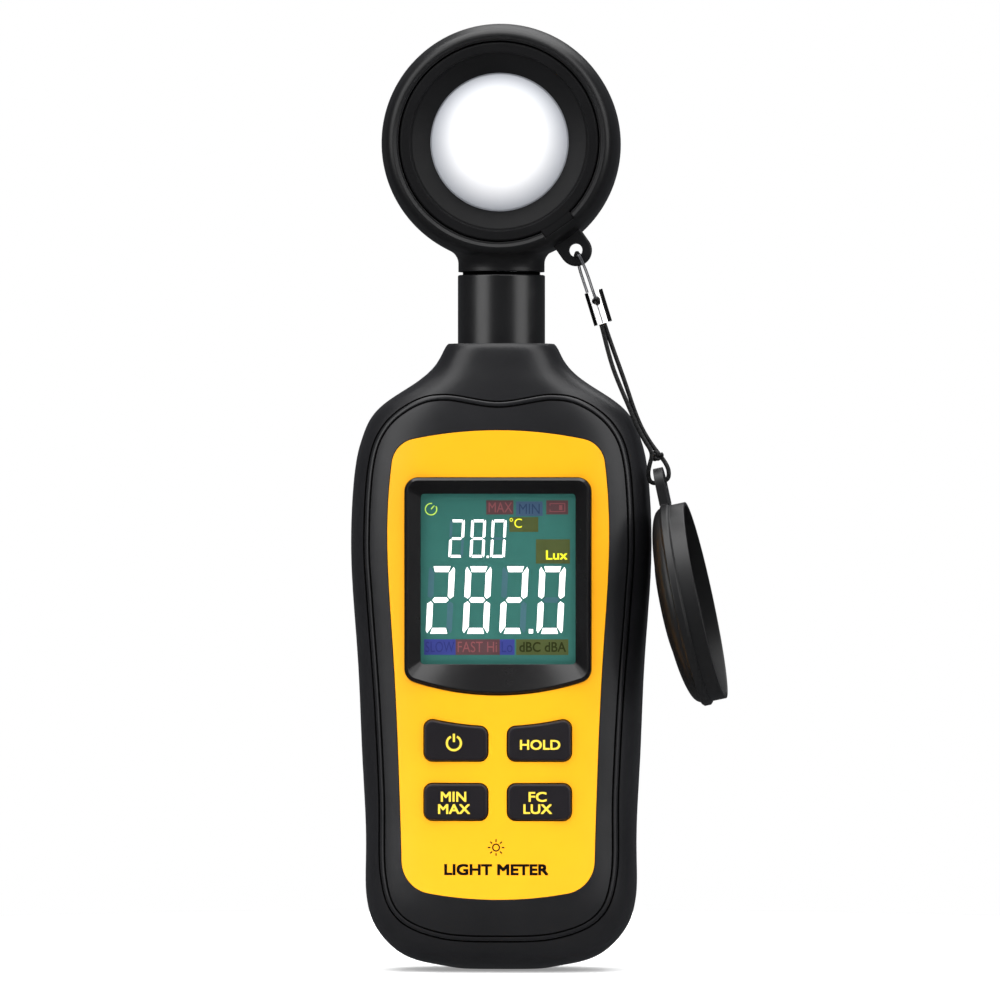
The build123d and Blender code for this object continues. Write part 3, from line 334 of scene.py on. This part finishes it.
NODE_MATERIALS = {
    "front_case": case_black,
    "rear_case": rear_black,
    "battery_door": rear_black,
    "face_panel": yellow,
    "display_bezel": bezel_black,
    "display_window": window_clear,
    "lcd_panel": teal,
    "lcd_backlight": nylon,
    "contact_strips": mat_grey,
    "power_button": key_black,
    "hold_button": key_black,
    "min_max_button": key_black,
    "unit_button": key_black,
    "keypad_membrane": mat_grey,
    "main_board": board_green,
    "board_screws": steel,
    "controller_chip": chip,
    "board_components": chip,
    "buzzer": chip,
    "temperature_sensor": chip,
    "sensor_connector": nylon,
    "sensor_lead": chip,
    "battery_cells": cell_wrap,
    "battery_tray": case_black,
    "battery_contacts": brass,
    "battery_springs": steel,
    "battery_leads": brass,
    "case_screws": steel,
    "neck_tube": neck_black,
    "thrust_washer": washer_black_and_groove_shade,
    "swivel_stop_pin": steel,
    "swivel_spindle": steel,
    "retaining_clip": steel,
    "spring_washer": steel,
    "head_front_shell": head_black,
    "head_rear_shell": head_black,
    "head_screws": steel,
    "sensor_collar": collar_black,
    "diffuser_dome": dome_white_painted_light,
    "light_filter": filter_glass,
    "sensor_board": board_green,
    "sensor_board_screws": steel,
    "photodiode": chip,
    "lead_socket": nylon,
    "cap_shell": cap_black,
    "lanyard_ferrule": chrome_painted_glow,
}
for name, finish in NODE_MATERIALS.items():
    mesh = nodes[name].data
    mesh.materials.clear()
    mesh.materials.append(finish)

# --------------------------------------------------------------------------- making pieces


def piece(name, mesh, finish, body):
    """A mesh becomes a named piece that rides on a CAD body."""
    made = bpy.data.objects.new(name, mesh)
    scene.collection.objects.link(made)
    mesh.materials.clear()
    mesh.materials.append(finish)
    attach(made, body)
    return made


def route_curve(name, route, diameter, finish, body, sides=6):
    """A round cord along a route in millimetres, as one smooth open spline."""
    data = bpy.data.curves.new(name, "CURVE")
    data.dimensions = "3D"
    data.resolution_u = 10
    data.bevel_depth = diameter / 2 * MM
    data.bevel_resolution = sides
    data.use_fill_caps = True
    spline = data.splines.new("NURBS")
    spline.points.add(len(route) - 1)
    for point, place in zip(spline.points, route):
        point.co = (*at(*place), 1)
    spline.order_u = 3
    spline.use_endpoint_u = True
    data.materials.append(finish)
    made = bpy.data.objects.new(name, data)
    scene.collection.objects.link(made)
    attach(made, body)
    return made


# --------------------------------------------------------------------------- lanyard

CORD_DIAMETER = 0.75
CORD_ROUTE = [
    (16.85, -5.35, 110.9),
    (17.45, -5.35, 108.7),
    (18.2, -5.35, 105.6),
    (19.15, -5.4, 102.2),
    (20.5, -5.45, 98.8),
    (21.9, -5.45, 95.6),
    (23.1, -5.45, 92.6),
    (24.5, -5.45, 89.9),
    (26.0, -5.5, 87.7),
    (25.35, -5.3, 85.6),
    (25.1, -5.0, 83.9),
    (25.7, -5.0, 82.4),
    (28.5, -5.0, 83.0),
    (28.75, -5.0, 84.6),
    (28.1, -4.9, 86.1),
    (27.0, -4.55, 87.5),
    (25.4, -4.5, 89.6),
    (23.9, -4.55, 92.2),
    (22.7, -4.55, 95.2),
    (21.5, -4.6, 98.9),
    (20.3, -4.65, 102.3),
    (19.1, -4.6, 105.6),
    (18.1, -4.6, 108.5),
    (17.4, -4.6, 110.6),
]
cord = route_curve("lanyard_braid", CORD_ROUTE, CORD_DIAMETER, cord_black, "lanyard")
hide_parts("lanyard_cord")

# The silvery loop through the head's eyelet. Each of its legs is two fine strands side by side.
STRAND_ROUTE = [
    (16.35, -6.72, 113.8),
    (15.75, -6.74, 115.4),
    (15.3, -6.72, 116.9),
    (14.4, -7.0, 119.4),
    (13.2, -7.5, 121.9),
    (12.95, -2.5, 121.9),
    (13.3, -2.8, 119.4),
    (14.2, -4.0, 116.7),
    (15.0, -4.7, 114.4),
]
STRAND_DIAMETER = 0.24
STRAND_SHIFT = 0.14  # each strand's middle from the leg's own
for name, shift in (("loop_strand_left", -STRAND_SHIFT), ("loop_strand_right", STRAND_SHIFT)):
    moved = [(x + shift, y, z) for x, y, z in STRAND_ROUTE]
    route_curve(name, moved, STRAND_DIAMETER, silver_strand, "lanyard", sides=3)
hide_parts("lanyard_thread")


def knot(name, centre, size, strand, tilt):
    """A small tight knot: one strand wound over and under itself, with its tail tucked in."""
    steps = 120
    turns = 3
    data = bpy.data.curves.new(name + "_line", "CURVE")
    data.dimensions = "3D"
    data.bevel_depth = strand / 2 * MM
    data.bevel_resolution = 3
    line = data.splines.new("POLY")
    line.points.add(steps - 1)
    spin = Matrix.Rotation(tilt, 3, "Y")
    for step, point in enumerate(line.points):
        turn = 2 * pi * step / steps
        ring = size * (0.62 + 0.3 * cos(turns * turn))
        place = Vector((ring * cos(2 * turn), 0.42 * size * sin(turns * turn), ring * sin(2 * turn)))
        point.co = (*((Vector(centre) + spin @ place) * MM), 1)
    line.use_cyclic_u = True
    holder = bpy.data.objects.new(name + "_line", data)
    mesh = bpy.data.meshes.new_from_object(holder)
    bpy.data.objects.remove(holder)
    return piece(name, mesh, knot_black, "lanyard")


def short_end(name, start, end, diameter, finish):
    """A cut end of cord that stands out of a knot, a little swollen at its tip."""
    run = Vector(end) - Vector(start)
    side = run.orthogonal().normalized()
    other = run.cross(side).normalized()
    build = bmesh.new()
    rings = []
    sides = 12
    for share, width in ((0, 1.0), (0.35, 0.95), (0.7, 1.05), (0.92, 1.1), (1.0, 0.7)):
        here = Vector(start) + run * share
        ring = []
        for step in range(sides):
            turn = 2 * pi * step / sides
            reach = diameter / 2 * width * (1 + 0.08 * sin(5 * turn))
            ring.append(build.verts.new((here + side * reach * cos(turn) + other * reach * sin(turn)) * MM))
        rings.append(ring)
    for near, far in zip(rings, rings[1:]):
        for i in range(sides):
            build.faces.new((near[i - 1], near[i], far[i], far[i - 1]))
    build.faces.new(rings[-1])
    build.faces.new(list(reversed(rings[0])))
    bmesh.ops.recalc_face_normals(build, faces=build.faces)
    mesh = bpy.data.meshes.new(name)
    build.to_mesh(mesh)
    build.free()
    mesh.shade_smooth()
    return piece(name, mesh, finish, "lanyard")


cap_knot = knot("cap_knot", (26.5, -5.0, 87.2), 0.75, 0.62, 0.4)
cap_knot_end = short_end("cap_knot_end", (26.9, -5.2, 87.2), (27.7, -5.5, 87.55), 0.68, knot_black)
eyelet_knot = knot("eyelet_knot", (13.2, -6.9, 121.3), 0.5, 0.38, 0.3)
ferrule_knot = knot("ferrule_knot", (16.45, -6.6, 113.5), 0.6, 0.46, 0.9)

# --------------------------------------------------------------------------- the ferrule's crimp
# Its seam, and two dark strips of painted reflection down its left and right sides, as strips a little proud
# of the plated wall.

FERRULE_TOP = Vector((15.85, -5.0, 115.2))
FERRULE_LEAN = radians(17)
FERRULE_LENGTH = 5.8
FERRULE_RADIUS = 1.55
FERRULE_INSET = 0.06  # from the ferrule's ends to the ends of the painted reflection strips
STRIP_SUNK = 0.1  # how far a strip reaches into the wall


def ferrule_strip(name, first, last, start, end, lift, finish):
    """A strip of the ferrule's wall between two turns about its axis. A turn of 0 faces the front."""
    down = Vector((sin(FERRULE_LEAN), 0, -cos(FERRULE_LEAN)))
    right = Vector((cos(FERRULE_LEAN), 0, sin(FERRULE_LEAN)))
    front = Vector((0, -1, 0))
    across = 10
    build = bmesh.new()
    layers = []
    for reach in (FERRULE_RADIUS + lift, FERRULE_RADIUS - STRIP_SUNK):
        rows = []
        for run in (start, end):
            row = []
            for step in range(across + 1):
                turn = radians(first + (last - first) * step / across)
                out = right * sin(turn) + front * cos(turn)
                row.append(build.verts.new((FERRULE_TOP + down * run + out * reach) * MM))
            rows.append(row)
        layers.append(rows)
    (top, bottom), (under_top, under_bottom) = layers
    for i in range(across):
        build.faces.new((top[i], top[i + 1], bottom[i + 1], bottom[i]))
        build.faces.new((under_top[i + 1], under_top[i], under_bottom[i], under_bottom[i + 1]))
        build.faces.new((top[i + 1], top[i], under_top[i], under_top[i + 1]))
        build.faces.new((bottom[i], bottom[i + 1], under_bottom[i + 1], under_bottom[i]))
    for i in (0, across):
        build.faces.new((top[i], bottom[i], under_bottom[i], under_top[i]))
    bmesh.ops.recalc_face_normals(build, faces=build.faces)
    mesh = bpy.data.meshes.new(name)
    build.to_mesh(mesh)
    build.free()
    return piece(name, mesh, finish, "lanyard")


REFLECTION_END = FERRULE_LENGTH - FERRULE_INSET
ferrule_strip("ferrule_reflection_left", -112, -37, FERRULE_INSET, REFLECTION_END, 0.03, reflection_black)
ferrule_strip("ferrule_reflection_right", 36, 112, FERRULE_INSET, REFLECTION_END, 0.03, reflection_black)
ferrule_strip("ferrule_seam", -3, 3, 2.3, FERRULE_LENGTH - 0.1, 0.01, seam_grey)

# --------------------------------------------------------------------------- finding the case's surface


def surface_tree(*names):
    """The named CAD nodes' meshes together, to find where a line from the front meets them."""
    points, faces = [], []
    for name in names:
        mesh = nodes[name].data
        start = len(points)
        points.extend(v.co.copy() for v in mesh.vertices)
        faces.extend([start + i for i in p.vertices] for p in mesh.polygons)
    return BVHTree.FromPolygons(points, faces)


RAY_START = -40  # further forward than any piece, in millimetres
case_surface = surface_tree("front_case")
panel_surface = surface_tree("face_panel")


def on_surface(tree, x, z):
    """Where a line from the front at x and z, in millimetres, meets the surface, and its normal."""
    hit, normal, _, _ = tree.ray_cast(at(x, RAY_START, z), Vector((0, 1, 0)))
    if normal.y > 0:
        normal = -normal
    return hit, normal


# --------------------------------------------------------------------------- raised bead on the case

BEAD_OUTLINE = [
    (0, 5.1),
    (10.0, 5.7),
    (17.2, 9.0),
    (20.0, 16.0),
    (20.3, 30.0),
    (21.1, 46.0),
    (22.3, 62.0),
    (22.9, 73.0),
    (22.1, 86.0),
    (19.6, 92.4),
    (14.6, 96.4),
    (9.0, 97.6),
    (0, 96.4),
]
BEAD_STEPS = 14  # points between two of the outline's
# Across the bead: how far inside its outer line, and how far it stands out, in millimetres. BEAD_PROFILE
# shapes a flat strip of painted groove shade at each side of the crest.
BEAD_PROFILE = [(-0.17, -0.03), (-0.13, 0.03), (0.13, 0.03), (0.17, -0.03)]
BEAD_CREST = [(0.13, 0.0), (0.2, 0.07), (0.32, 0.11), (0.48, 0.12), (0.64, 0.11), (0.76, 0.07), (0.83, 0.0)]
BEAD_WIDTH = 0.95


def smooth_loop(half):
    """A closed smooth loop through a half outline and its mirror image."""
    whole = half + [(-x, z) for x, z in reversed(half[1:-1])]
    count = len(whole)
    loop = []
    for i in range(count):
        before, here, there, after = (Vector(whole[(i + k) % count]) for k in (-1, 0, 1, 2))
        for step in range(BEAD_STEPS):
            t = step / BEAD_STEPS
            loop.append(
                0.5
                * (
                    2 * here
                    + (there - before) * t
                    + (2 * before - 5 * here + 4 * there - after) * t * t
                    + (3 * here - before - 3 * there + after) * t**3
                )
            )
    return loop


def bead(name, profile, finish):
    """A closed strip along the bead's outline with this profile, laid on the case."""
    loop = smooth_loop(BEAD_OUTLINE)
    count = len(loop)
    build = bmesh.new()
    rings = []
    for i, here in enumerate(loop):
        along = (loop[(i + 1) % count] - loop[i - 1]).normalized()
        inward = Vector((-along.y, along.x))
        ring = []
        for shift, rise in profile:
            place = here + inward * shift
            hit, normal = on_surface(case_surface, place.x, place.y)
            ring.append(build.verts.new(hit + normal * rise * MM))
        rings.append(ring)
    for i in range(count):
        near, far = rings[i - 1], rings[i]
        for k in range(len(profile) - 1):
            build.faces.new((near[k], near[k + 1], far[k + 1], far[k]))
    bmesh.ops.recalc_face_normals(build, faces=build.faces)
    mesh = bpy.data.meshes.new(name)
    build.to_mesh(mesh)
    build.free()
    mesh.shade_smooth()
    return piece(name, mesh, finish, "meter_body")


# The two dark strips are painted shade: flat ribbons where the crest's edge grooves would be in shade.
bead("bead_outer_groove_shade", BEAD_PROFILE, washer_black_and_groove_shade)
bead("bead_inner_groove_shade", [(shift + BEAD_WIDTH, rise) for shift, rise in BEAD_PROFILE], washer_black_and_groove_shade)
bead("bead_crest", BEAD_CREST, bead_black)

# --------------------------------------------------------------------------- flat printed shapes

PRINT_LIFT = 0.02  # print stands this far off the surface, in millimetres
COPY_LIFT = 0.003  # and each copy of bold words this far off the one below


def flat_piece(name, outlines, depth, finish, body, tree=None):
    """Filled outlines in the face's plane, in millimetres, at a depth or laid on a surface."""
    build = bmesh.new()
    for outline in outlines:
        corners = []
        for x, z in outline:
            place = at(x, depth, z)
            if tree is not None:
                hit, normal = on_surface(tree, x, z)
                place = hit + normal * PRINT_LIFT * MM
            corners.append(build.verts.new(place))
        face = build.faces.new(corners)
        face.normal_update()
        if face.normal.y > 0:
            face.normal_flip()
    mesh = bpy.data.meshes.new(name)
    build.to_mesh(mesh)
    build.free()
    return piece(name, mesh, finish, body)


def words_piece(name, words, box, depth, finish, body, bold=0.0, tree=None):
    """Words that fill a box, given as left, bottom, right and top, in the face's plane.

    Bold words are four copies, this far apart each way and each a little above the last."""
    data = bpy.data.curves.new(name + "_words", "FONT")
    data.body = words
    data.align_x = "CENTER"
    data.space_line = 0.82
    data.resolution_u = 4
    holder = bpy.data.objects.new(name + "_words", data)
    mesh = bpy.data.meshes.new_from_object(holder)
    bpy.data.objects.remove(holder)
    xs = [v.co.x for v in mesh.vertices]
    ys = [v.co.y for v in mesh.vertices]
    left, bottom, right, top = box
    build = bmesh.new()
    copies = ((0, 0),) if not bold else ((-bold, -bold), (bold, bold), (-bold, bold), (bold, -bold))
    for rise, (over, up) in enumerate(copies):
        corners = []
        for v in mesh.vertices:
            x = left + bold + (v.co.x - min(xs)) / (max(xs) - min(xs)) * (right - left - 2 * bold) + over
            z = bottom + bold + (v.co.y - min(ys)) / (max(ys) - min(ys)) * (top - bottom - 2 * bold) + up
            if tree is None:
                place = at(x, depth - COPY_LIFT * rise, z)
            else:
                hit, normal = on_surface(tree, x, z)
                place = hit + normal * (PRINT_LIFT + COPY_LIFT * rise) * MM
            corners.append(build.verts.new(place))
        for polygon in mesh.polygons:
            build.faces.new([corners[i] for i in polygon.vertices])
    build.normal_update()
    for face in build.faces:
        if face.normal.y > 0:
            face.normal_flip()
    build.to_mesh(mesh)
    build.free()
    return piece(name, mesh, finish, body)


def ring_outlines(centre, outer, width, first=0.0, last=360.0, steps=48):
    """A ring, or part of one, as a row of four-sided outlines. Turns are from +X towards +Z."""
    outlines = []
    for step in range(steps):
        a, b = (radians(first + (last - first) * (step + k) / steps) for k in (0, 1))
        outlines.append(
            [
                (centre[0] + reach * cos(turn), centre[1] + reach * sin(turn))
                for turn, reach in ((a, outer), (b, outer), (b, outer - width), (a, outer - width))
            ]
        )
    return outlines


def bar(start, end, width):
    """A straight stroke with square ends."""
    start, end = Vector(start), Vector(end)
    run = (end - start).normalized() * width / 2
    side = Vector((-run.y, run.x))
    return [tuple(corner) for corner in (start + side, end + side, end - side, start - side)]


# --------------------------------------------------------------------------- keys' legends

LEGEND_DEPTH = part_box("power_button")[0].y / MM - 0.015
LEGEND_BOLD = 0.055
POWER_CENTRE = (-7.36, 38.72)
POWER_STROKE = 0.38
flat_piece(
    "power_symbol",
    ring_outlines(POWER_CENTRE, 1.38, POWER_STROKE, 115, 425)
    + [bar((POWER_CENTRE[0], 38.9), (POWER_CENTRE[0], 40.3), POWER_STROKE)],
    LEGEND_DEPTH,
    key_yellow,
    "power_key",
)
for name, words, box, key in (
    ("hold_legend", "HOLD", (3.8, 37.6, 10.62, 39.3), "hold_key"),
    ("min_legend", "MIN", (-9.57, 28.82, -5.27, 30.52), "min_max_key"),
    ("max_legend", "MAX", (-10.04, 26.77, -4.62, 28.42), "min_max_key"),
    ("footcandle_legend", "FC", (5.25, 28.82, 8.3, 30.52), "unit_key"),
    ("lux_legend", "LUX", (4.38, 26.77, 9.22, 28.42), "unit_key"),
):
    words_piece(name, words, box, LEGEND_DEPTH, key_yellow, key, bold=LEGEND_BOLD)

# --------------------------------------------------------------------------- print on the panel

words_piece(
    "panel_words",
    "LIGHT METER",
    (-9.02, 16.4, 8.6, 18.32),
    0,
    print_black,
    "meter_body",
    bold=0.1,
    tree=panel_surface,
)
SUN_CENTRE = (-0.25, 21.1)
SUN_RADIUS = 0.68
SUN_RAY = (0.95, 1.4)  # where a ray starts and ends, from the centre
SUN_STROKE = 0.22
sun_rays = [
    bar(
        *((SUN_CENTRE[0] + reach * cos(turn), SUN_CENTRE[1] + reach * sin(turn)) for reach in SUN_RAY),
        SUN_STROKE,
    )
    for turn in (radians(45 * k) for k in range(8))
]
flat_piece(
    "panel_sun",
    ring_outlines(SUN_CENTRE, SUN_RADIUS, SUN_STROKE) + sun_rays,
    0,
    print_black,
    "meter_body",
    tree=panel_surface,
)

# --------------------------------------------------------------------------- what the display shows

LCD_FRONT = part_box("lcd_panel")[0].y / MM
LCD_CENTRE = (-0.2, 66.4)
# The display's layers, from its surface forwards: tags, unlit strokes, and what is lit or printed.
TAG_DEPTH = LCD_FRONT - 0.02
UNLIT_DEPTH = LCD_FRONT - 0.03
LIT_DEPTH = LCD_FRONT - 0.05


def on_lcd(x, z):
    """A place on the display, from its centre, in the face's plane."""
    return (LCD_CENTRE[0] + x, LCD_CENTRE[1] + z)


def lcd_tag(name, left, bottom, right, top, finish):
    corners = [on_lcd(*corner) for corner in ((left, bottom), (right, bottom), (right, top), (left, top))]
    return flat_piece(name, [corners], TAG_DEPTH, finish, "meter_body")


def lcd_words(name, words, left, bottom, right, top, finish, bold=0.0):
    box = (*on_lcd(left, bottom), *on_lcd(right, top))
    return words_piece(name, words, box, LIT_DEPTH, finish, "meter_body", bold=bold)


# Which of a digit's seven strokes are lit: top, upper right, lower right, bottom, lower left, upper
# left and middle.
LIT = {"0": (1, 1, 1, 1, 1, 1, 0), "2": (1, 1, 0, 1, 1, 0, 1), "8": (1, 1, 1, 1, 1, 1, 1)}


def digit_outlines(figure, left, bottom, width, height, stroke, lit_ones=True):
    """The lit, or the unlit, strokes of a leaning seven-stroke digit."""
    gap = stroke * 0.22
    lean = 0.05
    middle = height / 2
    corner = stroke * 0.55

    def leaning(points):
        return [on_lcd(left + x + lean * (z - middle), bottom + z) for x, z in points]

    inner, cut = stroke, stroke * 0.42
    top = [
        (corner + gap, height),
        (width - corner - gap, height),
        (width - inner - gap * 0.3, height - stroke),
        (inner + gap * 0.3, height - stroke),
    ]
    upper_right = [
        (width - corner * 0.45, height - gap * 0.5),
        (width, height - corner),
        (width, middle + cut + gap),
        (width - stroke * 0.62, middle + gap),
        (width - inner, middle + cut + gap),
        (width - inner, height - stroke - gap),
    ]
    lower_right = [(x, height - z) for x, z in reversed(upper_right)]
    bottom_stroke = [(x, height - z) for x, z in reversed(top)]
    lower_left = [(width - x, z) for x, z in reversed(lower_right)]
    upper_left = [(width - x, z) for x, z in reversed(upper_right)]
    half = stroke * 0.46
    centre = [
        (stroke * 0.62 + gap, middle),
        (inner + gap, middle + half),
        (width - inner - gap, middle + half),
        (width - stroke * 0.62 - gap, middle),
        (width - inner - gap, middle - half),
        (inner + gap, middle - half),
    ]
    strokes = (top, upper_right, lower_right, bottom_stroke, lower_left, upper_left, centre)
    return [leaning(s) for s, on in zip(strokes, LIT[figure]) if bool(on) == lit_ones]


def dot(left, bottom, size):
    corners = ((0, 0), (size, 0), (size, size), (0, size))
    return [on_lcd(left + x, bottom + z) for x, z in corners]


BIG = dict(bottom=-9.27, width=4.42, height=11.42, stroke=0.99)
SMALL = dict(bottom=3.6, width=2.5, height=6.45, stroke=0.46)
big_lefts = ((-11.83, "2"), (-5.6, "8"), (0.62, "2"), (6.92, "0"))
small_lefts = ((-8.12, "2"), (-4.53, "8"), (-1.05, "0"))
lit_strokes = [dot(5.35, -9.2, 0.72), dot(-1.78, 3.55, 0.38)]
unlit_strokes = []
for row, lefts in ((BIG, big_lefts), (SMALL, small_lefts)):
    for left, figure in lefts:
        lit_strokes += digit_outlines(figure, left, **row)
        unlit_strokes += digit_outlines(figure, left, **row, lit_ones=False)
flat_piece("lcd_figures", lit_strokes, LIT_DEPTH, digit_white, "meter_body")
flat_piece("lcd_unlit_figures", unlit_strokes, UNLIT_DEPTH, ghost_segment, "meter_body")

TIMER_CENTRE = on_lcd(-11.2, 11.8)
TIMER_STROKE = 0.17
flat_piece(
    "lcd_timer",
    ring_outlines(TIMER_CENTRE, 1.05, TIMER_STROKE, 80, 390)
    + [bar(TIMER_CENTRE, (TIMER_CENTRE[0] + 0.55, TIMER_CENTRE[1] + 0.62), TIMER_STROKE)],
    LIT_DEPTH,
    timer_green,
    "meter_body",
)

lcd_tag("lcd_max_tag", -1.85, 10.9, 2.75, 13.3, tag_red)
lcd_tag("lcd_min_tag", 3.2, 10.65, 7.7, 13.1, tag_blue)
lcd_tag("lcd_battery_tag", 8.3, 10.9, 12.0, 13.3, tag_red)
lcd_tag("lcd_degree_tag", 2.05, 7.95, 6.95, 10.45, tag_olive)
lcd_tag("lcd_lux_tag", 6.55, 2.6, 12.3, 6.7, tag_olive)
lcd_tag("lcd_slow_tag", -12.4, -12.85, -7.05, -10.2, tag_violet)
lcd_tag("lcd_fast_tag", -7.05, -12.85, 0.45, -10.2, tag_red)
lcd_tag("lcd_low_tag", 0.45, -12.85, 2.95, -10.2, tag_violet)
lcd_tag("lcd_weighting_tag", 3.2, -12.85, 12.05, -10.2, tag_olive)
lcd_words("lcd_max", "MAX", -1.45, 11.25, 2.55, 12.95, tag_red_text)
lcd_words("lcd_min", "MIN", 3.7, 11.0, 7.2, 12.7, tag_blue_text)
lcd_words("lcd_slow", "SLOW", -12.15, -12.4, -7.25, -10.6, tag_violet_text)
lcd_words("lcd_fast_high", "FAST Hi", -6.7, -12.4, -0.05, -10.6, tag_red_text)
lcd_words("lcd_low", "Lo", 0.75, -12.4, 2.6, -10.6, tag_violet_text)
lcd_words("lcd_weighting", "dBC dBA", 3.75, -12.35, 11.65, -10.65, tag_olive_text, bold=0.03)
lcd_words("lcd_degrees", "°C", 2.1, 8.65, 4.2, 10.3, unit_yellow)
lcd_words("lcd_lux", "Lux", 8.25, 3.25, 11.9, 4.85, unit_yellow, bold=0.045)
BATTERY_STROKE = 0.14
battery_frame = [
    bar(on_lcd(8.95, 12.75), on_lcd(11.5, 12.75), BATTERY_STROKE),
    bar(on_lcd(8.95, 11.4), on_lcd(11.5, 11.4), BATTERY_STROKE),
    bar(on_lcd(11.45, 11.35), on_lcd(11.45, 12.8), BATTERY_STROKE),
    bar(on_lcd(8.95, 12.4), on_lcd(8.95, 12.8), BATTERY_STROKE),
    bar(on_lcd(8.95, 11.35), on_lcd(8.95, 11.75), BATTERY_STROKE),
    bar(on_lcd(10.75, 11.65), on_lcd(10.75, 12.5), 0.55),
]
flat_piece("lcd_battery", battery_frame, LIT_DEPTH, tag_red_text, "meter_body")

# --------------------------------------------------------------------------- floor and light

floor_data = bmesh.new()
FLOOR_REACH = 0.2
FLOOR_RINGS = 24
FLOOR_SIDES = 64
FLOOR_DROP = 0.0003  # below the meter, so that the two never share a face
floor_rings = []
for ring in range(1, FLOOR_RINGS + 1):
    reach = FLOOR_REACH * (ring / FLOOR_RINGS) ** 2
    turns = [2 * pi * k / FLOOR_SIDES for k in range(FLOOR_SIDES)]
    floor_rings.append(
        [floor_data.verts.new((reach * cos(turn), reach * sin(turn), -FLOOR_DROP)) for turn in turns]
    )
floor_data.faces.new(floor_rings[0])
for near, far in zip(floor_rings, floor_rings[1:]):
    for k in range(FLOOR_SIDES):
        floor_data.faces.new((near[k - 1], far[k - 1], far[k], near[k]))
floor_mesh = bpy.data.meshes.new("floor")
floor_data.to_mesh(floor_mesh)
floor_data.free()
floor = bpy.data.objects.new("floor", floor_mesh)
scene.collection.objects.link(floor)
floor.visible_glossy = False
floor_mesh.materials.append(
    surface(
        "floor_pale",
        "FAFAFA",
        0.85,
        grain=0.02,
        grain_mm=4,
        mottle=0.006,
        patch_mm=300,
        specular=0.1,
        glow=0.3,
    )
)

world = bpy.data.worlds.new("studio")
scene.world = world
world.use_nodes = True
tree = world.node_tree
background = tree.nodes["Background"]
background.inputs["Color"].default_value = (0.9, 0.93, 1.0, 1.0)
background.inputs["Strength"].default_value = 0.09
seen = tree.nodes.new("ShaderNodeBackground")
seen.inputs["Color"].default_value = (1, 1, 1, 1)
seen.inputs["Strength"].default_value = 1.0
ray = tree.nodes.new("ShaderNodeLightPath")
choose = tree.nodes.new("ShaderNodeMixShader")
tree.links.new(ray.outputs["Is Camera Ray"], choose.inputs["Fac"])
tree.links.new(background.outputs["Background"], choose.inputs[1])
tree.links.new(seen.outputs["Background"], choose.inputs[2])
tree.links.new(choose.outputs["Shader"], tree.nodes["World Output"].inputs["Surface"])

LIGHT_TARGET = Vector((0, 0, 0.08))


def softbox(name, place, width, height, watts):
    data = bpy.data.lights.new(name, "AREA")
    data.shape = "RECTANGLE"
    data.size, data.size_y = width, height
    data.energy = watts
    made = bpy.data.objects.new(name, data)
    scene.collection.objects.link(made)
    made.location = place
    made.rotation_euler = (LIGHT_TARGET - Vector(place)).to_track_quat("-Z", "Y").to_euler()
    return made


softbox("left_box", (-0.92, -0.8, 0.6), 0.9, 1.3, 10.5)
softbox("right_box", (1.05, -0.68, 0.6), 0.9, 1.3, 9.5)
softbox("top_box", (0, -0.1, 1.4), 1.7, 1.7, 38)
softbox("back_box", (0.2, 1.2, 1.3), 1.2, 0.8, 5)
softbox("front_fill", (0.1, -1.4, 1.0), 0.8, 0.6, 5.5).visible_glossy = False
